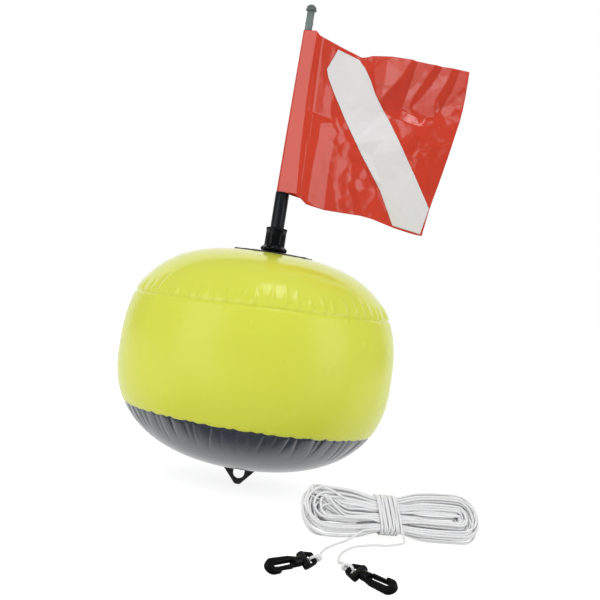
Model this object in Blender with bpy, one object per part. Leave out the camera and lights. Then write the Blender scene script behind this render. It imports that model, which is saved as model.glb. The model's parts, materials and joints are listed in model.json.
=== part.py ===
"""Inflatable dive flag float: welded PVC ball, mast with flag, tether tab and hanked line.

The float stands on the mast axis (Z) with the foot of its tether tab at z = 0.
The flag flies toward +X, and the hanked line with its two hooks lies in front (-Y).
All sizes are metres.
"""

from math import acos, atan2, cos, degrees, hypot, pi, radians, sin, tan

import bmesh
import bpy
import numpy as np
from mathutils import Matrix, Vector
from mathutils.kdtree import KDTree

# Clearances and display
GAP = 0.0003
SEAM_GAP = 0.0003
SHARP_ANGLE = radians(35)
AXIS_SIZE = 0.02

# Ball
BALL_RADIUS = 0.172
BALL_UPPER_HEIGHT = 0.144
BALL_LOWER_HEIGHT = 0.128
BALL_UPPER_FULLNESS = 2.72
BALL_LOWER_FULLNESS = 2.38
TOP_SEAM_BELOW_CROWN = 0.0678
BOTTOM_SEAM_BELOW_CROWN = 0.2095
PVC_THICKNESS = 0.0008
WELD_FLANGE_WIDTH = 0.0065
BALL_SIDES = 36
PANEL_STEPS = 6
BAND_STEPS = 6
POLE_CROWDING = 0.9
PATCH_RINGS = (0.0, 0.6, 1.0)

# Tether tab under the ball
TAB_HEIGHT = 0.0230
TAB_HALF_ANGLE = radians(41)
TAB_TIP_RADIUS = 0.0064
TAB_FOOT_FLAT = 0.0004
TAB_THICKNESS = 0.006
TAB_EDGE_ROUND = 0.0008
TAB_HOLE_WIDTH = 0.014
TAB_HOLE_WALL = 0.0072
TAB_BRIDGE = 0.0014
TAB_HOLE_CORNER = 0.002
TETHER_PATCH_RADIUS = 0.030

# Mast socket on its patch
PATCH_THICKNESS = 0.0012
SOCKET_PATCH_RADIUS = 0.050
SOCKET_HEIGHT = 0.0303
SOCKET_BASE_RADIUS = 0.0152
SOCKET_BASE_HEIGHT = 0.0062
SOCKET_BASE_SIDE = 0.0034
SOCKET_LOBE = 0.0014
SOCKET_LOBES = 6
SOCKET_BARREL_RADIUS = 0.0127
SOCKET_RIB = 0.0004
SOCKET_LIP_ROUND = 0.0024
SOCKET_FLOOR = 0.0035
SOCKET_SIDES = 36

# Mast
MAST_TUBE_RADIUS = 0.0087
MAST_TUBE_WALL = 0.0016
MAST_TUBE_TOP = 0.0753
BUSH_LENGTH = 0.018
BUSH_FLANGE = 0.002
CUP_FLOOR = 0.006
ROD_RADIUS = 0.00475
ROD_WALL = 0.0015
ROD_ABOVE_SLEEVE = 0.0253
ROD_COLLAR_RADIUS = 0.0053
ROD_COLLAR_HEIGHT = 0.003
ROD_COLLAR_BELOW_TOP = 0.014
CAP_RADIUS = 0.007
CAP_HEIGHT = 0.0085
CAP_RIM = 0.0022
CAP_UNDERCUT = 0.0007
CAP_DOME_TURNS = (0, 25, 50, 72)
CAP_STEM_LENGTH = 0.010
MAST_SIDES = 20

# Flag
FLAG_THICKNESS = 0.00035
SLEEVE_HEIGHT = 0.2058
SLEEVE_RADIUS_FOOT = 0.0079
SLEEVE_RADIUS_TOP = 0.0056
SLEEVE_APEX = 0.016
HEM_FLAP = 0.008
HEM_GAP = 0.0011
FLAG_ROWS = 12
FLAG_COLUMNS = 15
SLEEVE_STEPS = 8
FLAG_REACH = 0.2093
# Shares of the flag's height and reach along its free edge, then of reach and height along the other edges
FLAG_FREE_EDGE = ((0.0, 0.8806), (0.16, 0.8997), (0.325, 0.9298), (0.475, 0.9546), (0.62, 0.9766),
                  (0.70, 0.990), (0.775, 0.998), (0.85, 1.0), (1.0, 0.9957))
FLAG_TOP_EDGE = ((0.0526, 1.0), (0.0788, 0.9743), (0.215, 0.9354), (0.344, 0.9043), (0.4109, 0.9291),
                 (0.5256, 0.9368), (0.645, 0.9281), (0.7644, 0.9145), (1.0033, 0.895))
FLAG_BOTTOM_EDGE = ((0.0764, -0.004), (0.1094, -0.0248), (0.151, -0.0559), (0.188, -0.0617), (0.264, -0.07),
                    (0.412, -0.0666), (0.4845, -0.0641), (0.556, -0.0705), (0.628, -0.0865),
                    (0.6985, -0.1035), (0.78, -0.1176), (0.8385, -0.1249), (0.882, -0.1259))
WAVE_DEPTH = 0.020
WAVE_TOP_SHARE = 0.35
WAVE_HALF_TURNS = 1.6
CORNER_CURL = 0.022
# Each main fold runs between two points, then has its half width and its height toward the front, as shares
FLAG_FOLDS = (
    ((0.344, 0.904), (0.162, -0.044), 0.0430, 0.0287),
    ((0.468, 0.904), (0.334, 0.389), 0.0478, -0.0239),
    ((0.764, 0.904), (0.564, 0.544), 0.0406, 0.0263),
    ((0.898, 0.875), (0.717, 0.505), 0.0382, -0.0215),
    ((0.564, 0.544), (0.956, 0.505), 0.0382, 0.0239),
    ((0.478, 0.049), (0.287, -0.053), 0.0430, -0.0215),
)
STRIPE_THICKNESS = 0.0002
STRIPE_OUTLINE = (
    (0.197, 0.917), (0.148, 0.784), (0.163, 0.737), (0.205, 0.664), (0.303, 0.506), (0.435, 0.311),
    (0.5815, 0.118), (0.694, -0.091), (0.867, -0.1166), (0.896, 0.0476), (0.786, 0.216), (0.678, 0.384),
    (0.568, 0.556), (0.519, 0.624), (0.461, 0.7055), (0.423, 0.776), (0.381, 0.837), (0.331, 0.885),
)

# Valve on the back of the top panel
VALVE_PLACE_SHARE = 0.709
VALVE_FLANGE_RADIUS = 0.015
VALVE_FLANGE = 0.0012
VALVE_FLANGE_DISH = 0.0004
VALVE_TUBE_RADIUS = 0.0065
VALVE_BORE_RADIUS = 0.0042
VALVE_TUBE_HEIGHT = 0.012
VALVE_TUBE_INSIDE = 0.004
VALVE_SIDES = 20
PLUG_LENGTH = 0.0045
PLUG_TAPER = 0.0012
PLUG_HEAD_RADIUS = 0.0068
PLUG_HEAD = 0.0022
STRAP_WIDTH = 0.004
STRAP_THICKNESS = 0.0014
STRAP_REACH = 0.0115
POST_HALF_LENGTH = 0.0011
FLAP_RADIUS = 0.0056
FLAP_THICKNESS = 0.0008

# Line: a hank of loops, wraps round its waist and two leads
LINE_DIAMETER = 0.0026
LEAST_LINE_GAP = 0.0004
HANK_LENGTH = 0.222
HANK_TILT = radians(52)
HANK_YAW = radians(24)
HANK_CENTRE_X = 0.1791
HANK_CENTRE_Y = -0.1893
HANK_REST = -0.0006
HANK_LAYERS = 4
LOOPS_PER_LAYER = 5
LAYER_STEP = 0.0033
WAIST_STEP = 0.00320
LOBE_STEP = 0.00456
LOBE_INNER_RADIUS = 0.0026
WAIST_OFFSET = -0.008
WAIST_HALF_LENGTH = 0.016
LOBE_SHOULDER_SHARE = 0.62
ARC_POINTS = 7
CLIMB_HALF_TURN = 2.5 / 24
HANK_START = -0.054
HANK_START_DROP = 0.0026
HANK_START_LIFT = 0.0014
HANK_END = -0.030
END_RUN = 0.0030
WRAP_CLEARANCE = 0.00045
WRAP_TURNS = 7
WRAP_STEP = 0.00325
FLOOR_CLEARANCE = 0.0008
LEAD_POINT_SPACING = 0.0066
# Hand-laid points of the leads: x, y and height above lying on the floor
LEAD_A_ROUTE = ((0.1313, -0.2455, 0.0), (0.1174, -0.2765, 0.0), (0.1087, -0.2980, 0.0),
                (0.1021, -0.3234, 0.0), (0.0985, -0.3500, 0.0010), (0.0962, -0.3810, 0.0070))
LEAD_B_ROUTE = ((0.1935, -0.2165, 0.0004), (0.1881, -0.2265, 0.0), (0.1736, -0.2441, 0.0),
                (0.1603, -0.2516, 0.0), (0.1426, -0.2680, 0.0), (0.1314, -0.2870, 0.0),
                (0.1222, -0.3139, 0.0), (0.1178, -0.3425, 0.0), (0.1176, -0.3640, 0.0010),
                (0.1187, -0.3860, 0.0070))

# Hooks: in a hook's own frame X runs from its eye to its bow, and Y to its back
HOOK_THICKNESS = 0.0058
HOOK_EDGE_ROUND = 0.0007
HOOK_TILT = radians(46)
EYE_BAR_HALF_WIDTH = 0.0056
EYE_CORNER = 0.0012
EYE_THICKNESS = 0.0036
EYE_SHOULDER = 0.0100
EYE_HOLE_NEAR = 0.0032
EYE_HOLE_FAR = 0.0084
EYE_HOLE_NEAR_HALF = 0.0034
EYE_HOLE_FAR_HALF = 0.0056
COLLAR_X = 0.0125
COLLAR_RADIUS = 0.0036
COLLAR_END_RADIUS = 0.0029
COLLAR_END = 0.0009
COLLAR_HALF_WIDTH = 0.0084
STEM_RADIUS = 0.0021
STEM_HEAD_RADIUS = 0.0030
STEM_HEAD_START = 0.0206
STEM_HEAD_LENGTH = 0.0024
BOSS_START = 0.0166
BOSS_END = 0.0256
BOSS_RADIUS = 0.0048
BACK_INNER = 0.0016
BACK_START = 0.0205
BACK_START_OUTER = 0.0042
BACK_SHOULDER = 0.0290
BACK_SHOULDER_OUTER = 0.0064
BOW_X = 0.0480
BOW_RADIUS = 0.0074
BOW_INNER_X = 0.0464
NOSE_INNER = -0.0024
NOSE_END = 0.0410
NOSE_BEVEL = 0.0012
NOTCH_DEPTH = 0.0050
NOTCH_END = 0.0442
TONGUE_PIVOT_X = 0.0273
TONGUE_PIVOT_Y = -0.0037
TONGUE_ROOT_RADIUS = 0.00135
TONGUE_TIP_WIDTH = 0.0020
TONGUE_THICKNESS = 0.0052
KNOT_LOOP_RADIUS = 0.0040
KNOT_LUMP_RADIUS = 0.0039
HOOK_A_EYE = Vector((0.0916, -0.4035, 0.0128))
HOOK_A_DIRECTION = Vector((-0.76, -0.64, -0.116))
HOOK_A_LEAD_SIDE = Vector((0.20, 0.97, 0.05))
HOOK_B_EYE = Vector((0.1231, -0.4160, 0.0113))
HOOK_B_DIRECTION = Vector((0.71, -0.70, -0.050))
HOOK_B_LEAD_SIDE = Vector((-0.10, 0.99, 0.05))

# Worked out from the driving sizes
POLE_Z = TAB_HEIGHT
EQUATOR_Z = POLE_Z + BALL_LOWER_HEIGHT
CROWN_Z = EQUATOR_Z + BALL_UPPER_HEIGHT
TOP_SEAM_Z = CROWN_Z - TOP_SEAM_BELOW_CROWN
BOTTOM_SEAM_Z = CROWN_Z - BOTTOM_SEAM_BELOW_CROWN
SOCKET_FOOT_Z = CROWN_Z + GAP + PATCH_THICKNESS + GAP
MAST_FOOT_Z = SOCKET_FOOT_Z + SOCKET_FLOOR + GAP
MAST_TUBE_TOP_Z = CROWN_Z + MAST_TUBE_TOP
FLAG_FOOT_Z = MAST_TUBE_TOP_Z + GAP + BUSH_FLANGE + GAP
ROD_TOP_Z = FLAG_FOOT_Z + SLEEVE_HEIGHT + ROD_ABOVE_SLEEVE
VALVE_FROM_AXIS = BALL_RADIUS * VALVE_PLACE_SHARE
LINE_RADIUS = LINE_DIAMETER / 2
HANK_OUTER = LOBE_INNER_RADIUS + LOOPS_PER_LAYER * LOBE_STEP
HANK_ARC_CENTRE = HANK_LENGTH / 2 - HANK_OUTER - LINE_RADIUS
HANK_FRONT = (HANK_LAYERS - 1) * LAYER_STEP / 2
WAIST_SHARE = WAIST_STEP / LOBE_STEP
WRAP_HALF_ACROSS = HANK_OUTER * WAIST_SHARE + LINE_DIAMETER + WRAP_CLEARANCE
WRAP_HALF_THROUGH = HANK_FRONT + LINE_DIAMETER + WRAP_CLEARANCE
WRAP_CORNER = LINE_DIAMETER + WRAP_CLEARANCE
FLOOR_LINE_Z = LINE_RADIUS + FLOOR_CLEARANCE
LUMP_X = -KNOT_LUMP_RADIUS - GAP


def clear_scene():
    """Remove what a new file holds."""
    for thing in list(bpy.data.objects):
        bpy.data.objects.remove(thing, do_unlink=True)


def make_material(name, colour, roughness, metallic=0.0):
    """A Principled material with the part's colour, roughness and metallic value."""
    material = bpy.data.materials.new(name)
    material.use_nodes = True
    shader = material.node_tree.nodes["Principled BSDF"]
    shader.inputs["Base Color"].default_value = (*colour, 1.0)
    shader.inputs["Roughness"].default_value = roughness
    shader.inputs["Metallic"].default_value = metallic
    material.diffuse_color = (*colour, 1.0)
    return material


def add_object(name, data, material=None, frame=Matrix(), parent=None):
    """Put mesh or curve data in the scene under its node's name; the frame is a world matrix."""
    thing = bpy.data.objects.new(name, data)
    bpy.context.scene.collection.objects.link(thing)
    if material:
        data.materials.append(material)
    if isinstance(data, bpy.types.Mesh):
        data.shade_smooth()
        data.set_sharp_from_angle(angle=SHARP_ANGLE)
    thing.parent = parent
    thing.matrix_local = parent.matrix_world.inverted() @ frame if parent else frame
    return thing


def add_axis(name, frame, parent=None):
    """An empty on a joint's axis."""
    axis = bpy.data.objects.new(name, None)
    axis.empty_display_size = AXIS_SIZE
    bpy.context.scene.collection.objects.link(axis)
    axis.parent = parent
    axis.matrix_local = parent.matrix_world.inverted() @ frame if parent else frame
    bpy.context.view_layer.update()
    return axis


def mesh_from(build, name):
    """Run a bmesh recipe and return its mesh with outward faces."""
    mesh = bpy.data.meshes.new(name)
    work = bmesh.new()
    build(work)
    bmesh.ops.recalc_face_normals(work, faces=work.faces)
    work.to_mesh(mesh)
    work.free()
    return mesh


def turned_mesh(name, profile, sides, closed=True):
    """Spin a profile of (radius, z) points about Z; an open profile starts and ends on the axis."""

    def build(work):
        points = [work.verts.new((radius, 0.0, z)) for radius, z in profile]
        pairs = list(zip(points, points[1:]))
        if closed:
            pairs.append((points[-1], points[0]))
        edges = [work.edges.new(pair) for pair in pairs]
        bmesh.ops.spin(work, geom=points + edges, cent=(0, 0, 0), axis=(0, 0, 1), angle=2 * pi, steps=sides,
                       use_merge=True)
        bmesh.ops.remove_doubles(work, verts=work.verts, dist=1e-6)

    return mesh_from(build, name)


def plate_mesh(name, outline, thickness):
    """Extrude an outline in XY by a thickness centred on Z."""

    def build(work):
        face = work.faces.new([work.verts.new((x, y, -thickness / 2)) for x, y in outline])
        grown = bmesh.ops.extrude_face_region(work, geom=[face])
        moved = [item for item in grown["geom"] if isinstance(item, bmesh.types.BMVert)]
        bmesh.ops.translate(work, verts=moved, vec=(0, 0, thickness))

    return mesh_from(build, name)


def arc(centre_x, centre_y, radius, start, end, steps):
    """Points of an arc, both ends included, angles in degrees."""
    turns = [radians(start + (end - start) * step / steps) for step in range(steps + 1)]
    return [(centre_x + radius * cos(turn), centre_y + radius * sin(turn)) for turn in turns]


def round_edges(thing, width, segments=1):
    """Bevel the sharp edges of a plate."""
    bevel = thing.modifiers.new("round", "BEVEL")
    bevel.width = width
    bevel.segments = segments
    bevel.limit_method = "ANGLE"
    bevel.angle_limit = radians(50)


def boolean(thing, other, operation):
    """Add, cut or keep with the exact solver; the other object is only a guide."""
    modifier = thing.modifiers.new(operation.lower(), "BOOLEAN")
    modifier.operation = operation
    modifier.object = other
    modifier.solver = "EXACT"
    other.hide_render = True
    other.display_type = "WIRE"


def ball_radius_at(z, offset=0.0):
    """Radius of the ball's outer surface at a height, grown by an offset."""
    if z >= EQUATOR_Z:
        height, fullness = BALL_UPPER_HEIGHT + offset, BALL_UPPER_FULLNESS
    else:
        height, fullness = BALL_LOWER_HEIGHT + offset, BALL_LOWER_FULLNESS
    level = min(1.0, abs(z - EQUATOR_Z) / height)
    return (BALL_RADIUS + offset) * (1 - level ** fullness) ** (1 / fullness)


def ball_height_at(radius, upper, offset=0.0):
    """Height of the ball's outer surface at a distance from the axis."""
    fullness = BALL_UPPER_FULLNESS if upper else BALL_LOWER_FULLNESS
    height = (BALL_UPPER_HEIGHT if upper else BALL_LOWER_HEIGHT) + offset
    rise = height * (1 - (radius / (BALL_RADIUS + offset)) ** fullness) ** (1 / fullness)
    return EQUATOR_Z + rise if upper else EQUATOR_Z - rise


def pole_profile(seam_z, upper, offset, steps):
    """Points from the pole to the seam, closer together where the surface bends down."""
    seam_radius = ball_radius_at(seam_z, offset)
    points = [(0.0, ball_height_at(0.0, upper, offset))]
    for step in range(1, steps):
        radius = seam_radius * sin(0.5 * pi * step / steps) ** POLE_CROWDING
        points.append((radius, ball_height_at(radius, upper, offset)))
    points.append((seam_radius, seam_z))
    return points


def end_panel_mesh(name, seam_z, upper):
    """A dished panel whose rim turns inward as the weld flange."""
    side = 1 if upper else -1
    rim_z = seam_z + side * SEAM_GAP / 2
    flange_z = rim_z + side * PVC_THICKNESS
    flange_radius = ball_radius_at(rim_z) - WELD_FLANGE_WIDTH
    outer = pole_profile(rim_z, upper, 0.0, PANEL_STEPS)
    inner = pole_profile(flange_z, upper, -PVC_THICKNESS, PANEL_STEPS)
    profile = outer + [(flange_radius, rim_z), (flange_radius, flange_z)] + inner[::-1]
    return turned_mesh(name, profile, BALL_SIDES, closed=False)


def side_band_mesh(name):
    """The yellow band between the two seams, with a weld flange at each edge."""
    top_z = TOP_SEAM_Z - SEAM_GAP / 2
    foot_z = BOTTOM_SEAM_Z + SEAM_GAP / 2
    levels = [top_z + (foot_z - top_z) * step / BAND_STEPS for step in range(BAND_STEPS + 1)]
    outer = [(ball_radius_at(z), z) for z in levels]
    inner_top, inner_foot = top_z - PVC_THICKNESS, foot_z + PVC_THICKNESS
    inner_step = (inner_foot - inner_top) / BAND_STEPS
    inner_levels = [inner_top + inner_step * step for step in range(BAND_STEPS + 1)]
    inner = [(ball_radius_at(z, -PVC_THICKNESS), z) for z in inner_levels]
    foot_flange = outer[-1][0] - WELD_FLANGE_WIDTH
    top_flange = outer[0][0] - WELD_FLANGE_WIDTH
    profile = outer + [(foot_flange, foot_z), (foot_flange, inner_foot)] + inner[::-1]
    profile += [(top_flange, inner_top), (top_flange, top_z)]
    return turned_mesh(name, profile, BALL_SIDES)


def patch_mesh(name, radius, upper):
    """A round reinforcing patch that follows the ball."""
    radii = [radius * share for share in PATCH_RINGS]
    under = [(ring, ball_height_at(ring, upper, GAP)) for ring in radii]
    over = [(ring, ball_height_at(ring, upper, GAP + PATCH_THICKNESS)) for ring in radii]
    return turned_mesh(name, over + under[::-1], BALL_SIDES, closed=False)


def socket_mesh(name):
    """The moulded mast socket: lobed foot, ribbed barrel, round lip and blind bore."""
    foot = SOCKET_FOOT_Z
    top = foot + SOCKET_HEIGHT
    bore = MAST_TUBE_RADIUS + GAP
    profile = [(0.0, foot), (SOCKET_BASE_RADIUS, foot), (SOCKET_BASE_RADIUS, foot + SOCKET_BASE_SIDE)]
    profile += [(SOCKET_BARREL_RADIUS, foot + SOCKET_BASE_HEIGHT)]
    profile += [(SOCKET_BARREL_RADIUS, top - SOCKET_LIP_ROUND)]
    lip = arc(SOCKET_BARREL_RADIUS - SOCKET_LIP_ROUND, top - SOCKET_LIP_ROUND, SOCKET_LIP_ROUND, 0, 90, 2)
    profile += lip[1:] + [(bore, top)]
    profile += [(bore, foot + SOCKET_FLOOR), (0.0, foot + SOCKET_FLOOR)]
    mesh = turned_mesh(name, profile, SOCKET_SIDES, closed=False)
    for vertex in mesh.vertices:
        radius = hypot(vertex.co.x, vertex.co.y)
        wave = 0.5 + 0.5 * cos(SOCKET_LOBES * atan2(vertex.co.y, vertex.co.x))
        if radius > SOCKET_BARREL_RADIUS + GAP:
            grown = radius + SOCKET_LOBE * wave
        elif radius > SOCKET_BARREL_RADIUS - GAP:
            grown = radius + SOCKET_RIB * wave
        else:
            continue
        vertex.co.x *= grown / radius
        vertex.co.y *= grown / radius
    return mesh


def ring_profile(outer, inner, low, high):
    """A plain tube's section."""
    return [(outer, high), (outer, low), (inner, low), (inner, high)]


def mast_meshes():
    """The mast's turned pieces, from the foot up."""
    tube_bore = MAST_TUBE_RADIUS - MAST_TUBE_WALL
    bush_radius = tube_bore - GAP
    rod_seat = ROD_RADIUS + GAP
    bush_low = MAST_TUBE_TOP_Z - BUSH_LENGTH
    flange_low = MAST_TUBE_TOP_Z + GAP
    flange_high = flange_low + BUSH_FLANGE
    upper_bush = [(MAST_TUBE_RADIUS, flange_high), (MAST_TUBE_RADIUS, flange_low), (bush_radius, flange_low),
                  (bush_radius, bush_low), (rod_seat, bush_low), (rod_seat, flange_high)]
    plug_top = MAST_FOOT_Z + BUSH_LENGTH
    cup_floor = MAST_FOOT_Z + CUP_FLOOR
    lower_bush = [(0.0, MAST_FOOT_Z), (bush_radius, MAST_FOOT_Z), (bush_radius, plug_top),
                  (rod_seat, plug_top), (rod_seat, cup_floor), (0.0, cup_floor)]
    rod_foot = cup_floor + GAP
    rod_bore = ROD_RADIUS - ROD_WALL
    collar_high = ROD_TOP_Z - ROD_COLLAR_BELOW_TOP
    collar_low = collar_high - ROD_COLLAR_HEIGHT
    rod = [(ROD_RADIUS, ROD_TOP_Z), (ROD_RADIUS, collar_high), (ROD_COLLAR_RADIUS, collar_high - GAP),
           (ROD_COLLAR_RADIUS, collar_low + GAP), (ROD_RADIUS, collar_low), (ROD_RADIUS, rod_foot),
           (rod_bore, rod_foot), (rod_bore, ROD_TOP_Z)]
    stem = rod_bore - GAP
    cap_foot = ROD_TOP_Z + GAP
    dome_foot = cap_foot + CAP_RIM
    dome_height = CAP_HEIGHT - CAP_RIM
    turns = [radians(turn) for turn in CAP_DOME_TURNS]
    dome = [(CAP_RADIUS * cos(turn), dome_foot + dome_height * sin(turn)) for turn in turns]
    cap = [(0.0, cap_foot - CAP_STEM_LENGTH), (stem, cap_foot - CAP_STEM_LENGTH), (stem, cap_foot),
           (CAP_RADIUS - CAP_UNDERCUT, cap_foot)] + dome + [(0.0, dome_foot + dome_height)]
    return {
        "mast_lower": turned_mesh("mast_lower", ring_profile(MAST_TUBE_RADIUS, tube_bore, MAST_FOOT_Z,
                                                             MAST_TUBE_TOP_Z), MAST_SIDES),
        "mast_bush_upper": turned_mesh("mast_bush_upper", upper_bush, MAST_SIDES),
        "mast_bush_lower": turned_mesh("mast_bush_lower", lower_bush, MAST_SIDES, closed=False),
        "mast_upper": turned_mesh("mast_upper", rod, MAST_SIDES),
        "mast_cap": turned_mesh("mast_cap", cap, MAST_SIDES, closed=False),
    }


def edge_height(edge, x):
    """Height of the flag's top or bottom edge at a distance from the mast."""
    places, heights = zip(*edge)
    return float(np.interp(x / FLAG_REACH, places, heights)) * SLEEVE_HEIGHT


def flag_reach(share):
    """Distance of the free edge from the mast, by its share of the height."""
    places = [point[0] for point in FLAG_FREE_EDGE]
    return FLAG_REACH * float(np.interp(share, places, [point[1] for point in FLAG_FREE_EDGE]))


def on_flag(place):
    """A point (x, z) of the flag from its shares of the reach and height."""
    return Vector((place[0] * FLAG_REACH, place[1] * SLEEVE_HEIGHT))


def fold_height(x, z, fold):
    """How far one fold pushes the cloth forward at (x, z)."""
    start, end = on_flag(fold[0]), on_flag(fold[1])
    width, height = fold[2] * FLAG_REACH, fold[3] * FLAG_REACH
    run, offset = end - start, Vector((x, z)) - start
    along = offset.dot(run) / run.length_squared
    across = (offset - run * min(1.0, max(0.0, along))).length
    return height * max(0.0, 1 - across / (2 * width)) ** 2 * (1 + across / width)


def flag_depth(x, z):
    """Depth (y) of the flying cloth; negative is toward the front."""
    share = min(1.0, max(0.0, z / SLEEVE_HEIGHT))
    reach = max(0.0, (x - SLEEVE_APEX) / (flag_reach(share) - SLEEVE_APEX))
    swell = WAVE_DEPTH * (1 - (1 - WAVE_TOP_SHARE) * share)
    wave = swell * sin(WAVE_HALF_TURNS * pi * reach) * min(1.0, 2 * reach)
    curl = CORNER_CURL * reach ** 3 * (1 - share)
    folds = sum(fold_height(x, z, fold) for fold in FLAG_FOLDS) * min(1.0, 6 * reach)
    return wave - curl - folds


def sleeve_section(share):
    """Plan of the sleeve at a height: round the mast from the front of the sheet to the flap."""
    radius = SLEEVE_RADIUS_FOOT + (SLEEVE_RADIUS_TOP - SLEEVE_RADIUS_FOOT) * share
    touch = np.arccos(radius / SLEEVE_APEX)
    turns = [-touch - (2 * pi - 2 * touch) * step / SLEEVE_STEPS for step in range(SLEEVE_STEPS + 1)]
    return [(radius * cos(turn), radius * sin(turn)) for turn in turns]


def flag_rows():
    """Grid of points: from the free edge in to the mast, round it, and back along the flap."""
    rows = []
    for row in range(FLAG_ROWS + 1):
        share = row / FLAG_ROWS
        reach = flag_reach(share)
        points = []
        for column in range(FLAG_COLUMNS + 1):
            x = reach + (SLEEVE_APEX - reach) * column / FLAG_COLUMNS
            foot, top = edge_height(FLAG_BOTTOM_EDGE, x), edge_height(FLAG_TOP_EDGE, x)
            z = foot + (top - foot) * share
            points.append((x, flag_depth(x, z), z + FLAG_FOOT_Z))
        sleeve_z = SLEEVE_HEIGHT * share + FLAG_FOOT_Z
        apex_z = points[-1][2]
        points += [(x, y, sleeve_z) for x, y in sleeve_section(share)]
        flap_end = SLEEVE_APEX + HEM_FLAP
        points.append((SLEEVE_APEX, HEM_GAP, apex_z))
        foot, top = edge_height(FLAG_BOTTOM_EDGE, flap_end), edge_height(FLAG_TOP_EDGE, flap_end)
        flap_z = foot + (top - foot) * share
        points.append((flap_end, flag_depth(flap_end, flap_z) + HEM_GAP, flap_z + FLAG_FOOT_Z))
        rows.append(points)
    return rows


def sheet_mesh(name, rows):
    """A sheet of triangles through rows of points."""

    def build(work):
        grid = [[work.verts.new(point) for point in row] for row in rows]
        for low, high in zip(grid, grid[1:]):
            for column in range(len(low) - 1):
                a, b, c, d = low[column], low[column + 1], high[column + 1], high[column]
                work.faces.new((a, b, c))
                work.faces.new((a, c, d))

    return mesh_from(build, name)


def thicken(thing, thickness):
    """Give a sheet its thickness, half on each side."""
    solidify = thing.modifiers.new("thickness", "SOLIDIFY")
    solidify.thickness = thickness
    solidify.offset = 0.0


def offset_rows(rows, distance):
    """Move the flying sheet's grid along its own normals; positive is toward the back."""
    grid = np.array([row[:FLAG_COLUMNS + 1] for row in rows])
    along = np.gradient(grid, axis=1)
    up = np.gradient(grid, axis=0)
    normals = np.cross(along, up)
    normals /= np.linalg.norm(normals, axis=2, keepdims=True)
    if normals[0, 0, 1] < 0:
        normals = -normals
    return (grid + distance * normals).tolist()


def add_flag(materials, axis):
    """The flag with its sleeve and the white stripe on each face."""
    rows = flag_rows()
    flag = add_object("flag", sheet_mesh("flag", rows), materials["red_pvc"], parent=axis)
    thicken(flag, FLAG_THICKNESS)
    lift = FLAG_THICKNESS / 2 + STRIPE_THICKNESS / 2 + 1.5 * GAP
    upright = Matrix.Translation((0, 0, FLAG_FOOT_Z)) @ Matrix.Rotation(radians(90), 4, "X")
    for name, distance in (("stripe_front", -lift), ("stripe_back", lift)):
        sheet = sheet_mesh(name, offset_rows(rows, distance))
        stripe = add_object(name, sheet, materials["white_pvc"], parent=axis)
        thicken(stripe, STRIPE_THICKNESS)
        corners = [tuple(on_flag(place)) for place in STRIPE_OUTLINE]
        outline = plate_mesh(name + "_outline", corners, 6 * WAVE_DEPTH)
        boolean(stripe, add_object(name + "_outline", outline, frame=upright), "INTERSECT")


def tab_top():
    """Height of the tab's flat top, under its patch."""
    return TAB_HEIGHT - GAP - PATCH_THICKNESS - GAP


def tab_outline():
    """The tab's outline in (x, z): a round tip with a small flat foot, and straight sides."""
    centre = TAB_TIP_RADIUS - TAB_FOOT_FLAT
    flat = degrees(acos(centre / TAB_TIP_RADIUS))
    right = arc(0.0, centre, TAB_TIP_RADIUS, -90 + flat, -degrees(TAB_HALF_ANGLE), 4)
    rise = tab_top() - centre + TAB_TIP_RADIUS * sin(TAB_HALF_ANGLE)
    reach = TAB_TIP_RADIUS * cos(TAB_HALF_ANGLE) + rise * tan(TAB_HALF_ANGLE)
    left = [(-x, z) for x, z in right[::-1]]
    return left + right + [(reach, tab_top()), (-reach, tab_top())]


def tab_hole_outline():
    """The D-shaped hole for the tether: round below, flat above."""
    half = TAB_HOLE_WIDTH / 2
    corner_z = tab_top() - TAB_BRIDGE - TAB_HOLE_CORNER
    points = arc(0.0, TAB_HOLE_WALL + half, half, 180, 360, 8)
    points += arc(half - TAB_HOLE_CORNER, corner_z, TAB_HOLE_CORNER, 0, 90, 2)
    points += arc(TAB_HOLE_CORNER - half, corner_z, TAB_HOLE_CORNER, 90, 180, 2)
    return points


def add_tab(materials):
    """The moulded tether tab."""
    upright = Matrix.Rotation(radians(90), 4, "X")
    tab = add_object("tether_tab", plate_mesh("tether_tab", tab_outline(), TAB_THICKNESS),
                     materials["black_moulding"], upright)
    hole_mesh = plate_mesh("tab_hole", tab_hole_outline(), 3 * TAB_THICKNESS)
    boolean(tab, add_object("tab_hole", hole_mesh, frame=upright), "DIFFERENCE")
    round_edges(tab, TAB_EDGE_ROUND)


def box_mesh(name, low, high):
    """A box between two corners."""

    def build(work):
        size = Vector(high) - Vector(low)
        middle = (Vector(high) + Vector(low)) / 2
        bmesh.ops.create_cube(work, size=1.0, matrix=Matrix.LocRotScale(middle, None, size))

    return mesh_from(build, name)


def valve_frame():
    """World matrix of the valve: X uphill toward the mast, Z along the panel's outward normal."""
    radius = VALVE_FROM_AXIS
    step = BALL_RADIUS / 400
    rise = ball_height_at(radius + step, True) - ball_height_at(radius - step, True)
    slope = rise / (2 * step)
    normal = Vector((0, -slope, 1)).normalized()
    uphill = Vector((0, -1, -slope)).normalized()
    matrix = Matrix((uphill, normal.cross(uphill), normal)).transposed().to_4x4()
    matrix.translation = (0, radius, ball_height_at(radius, True))
    return matrix


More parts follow.
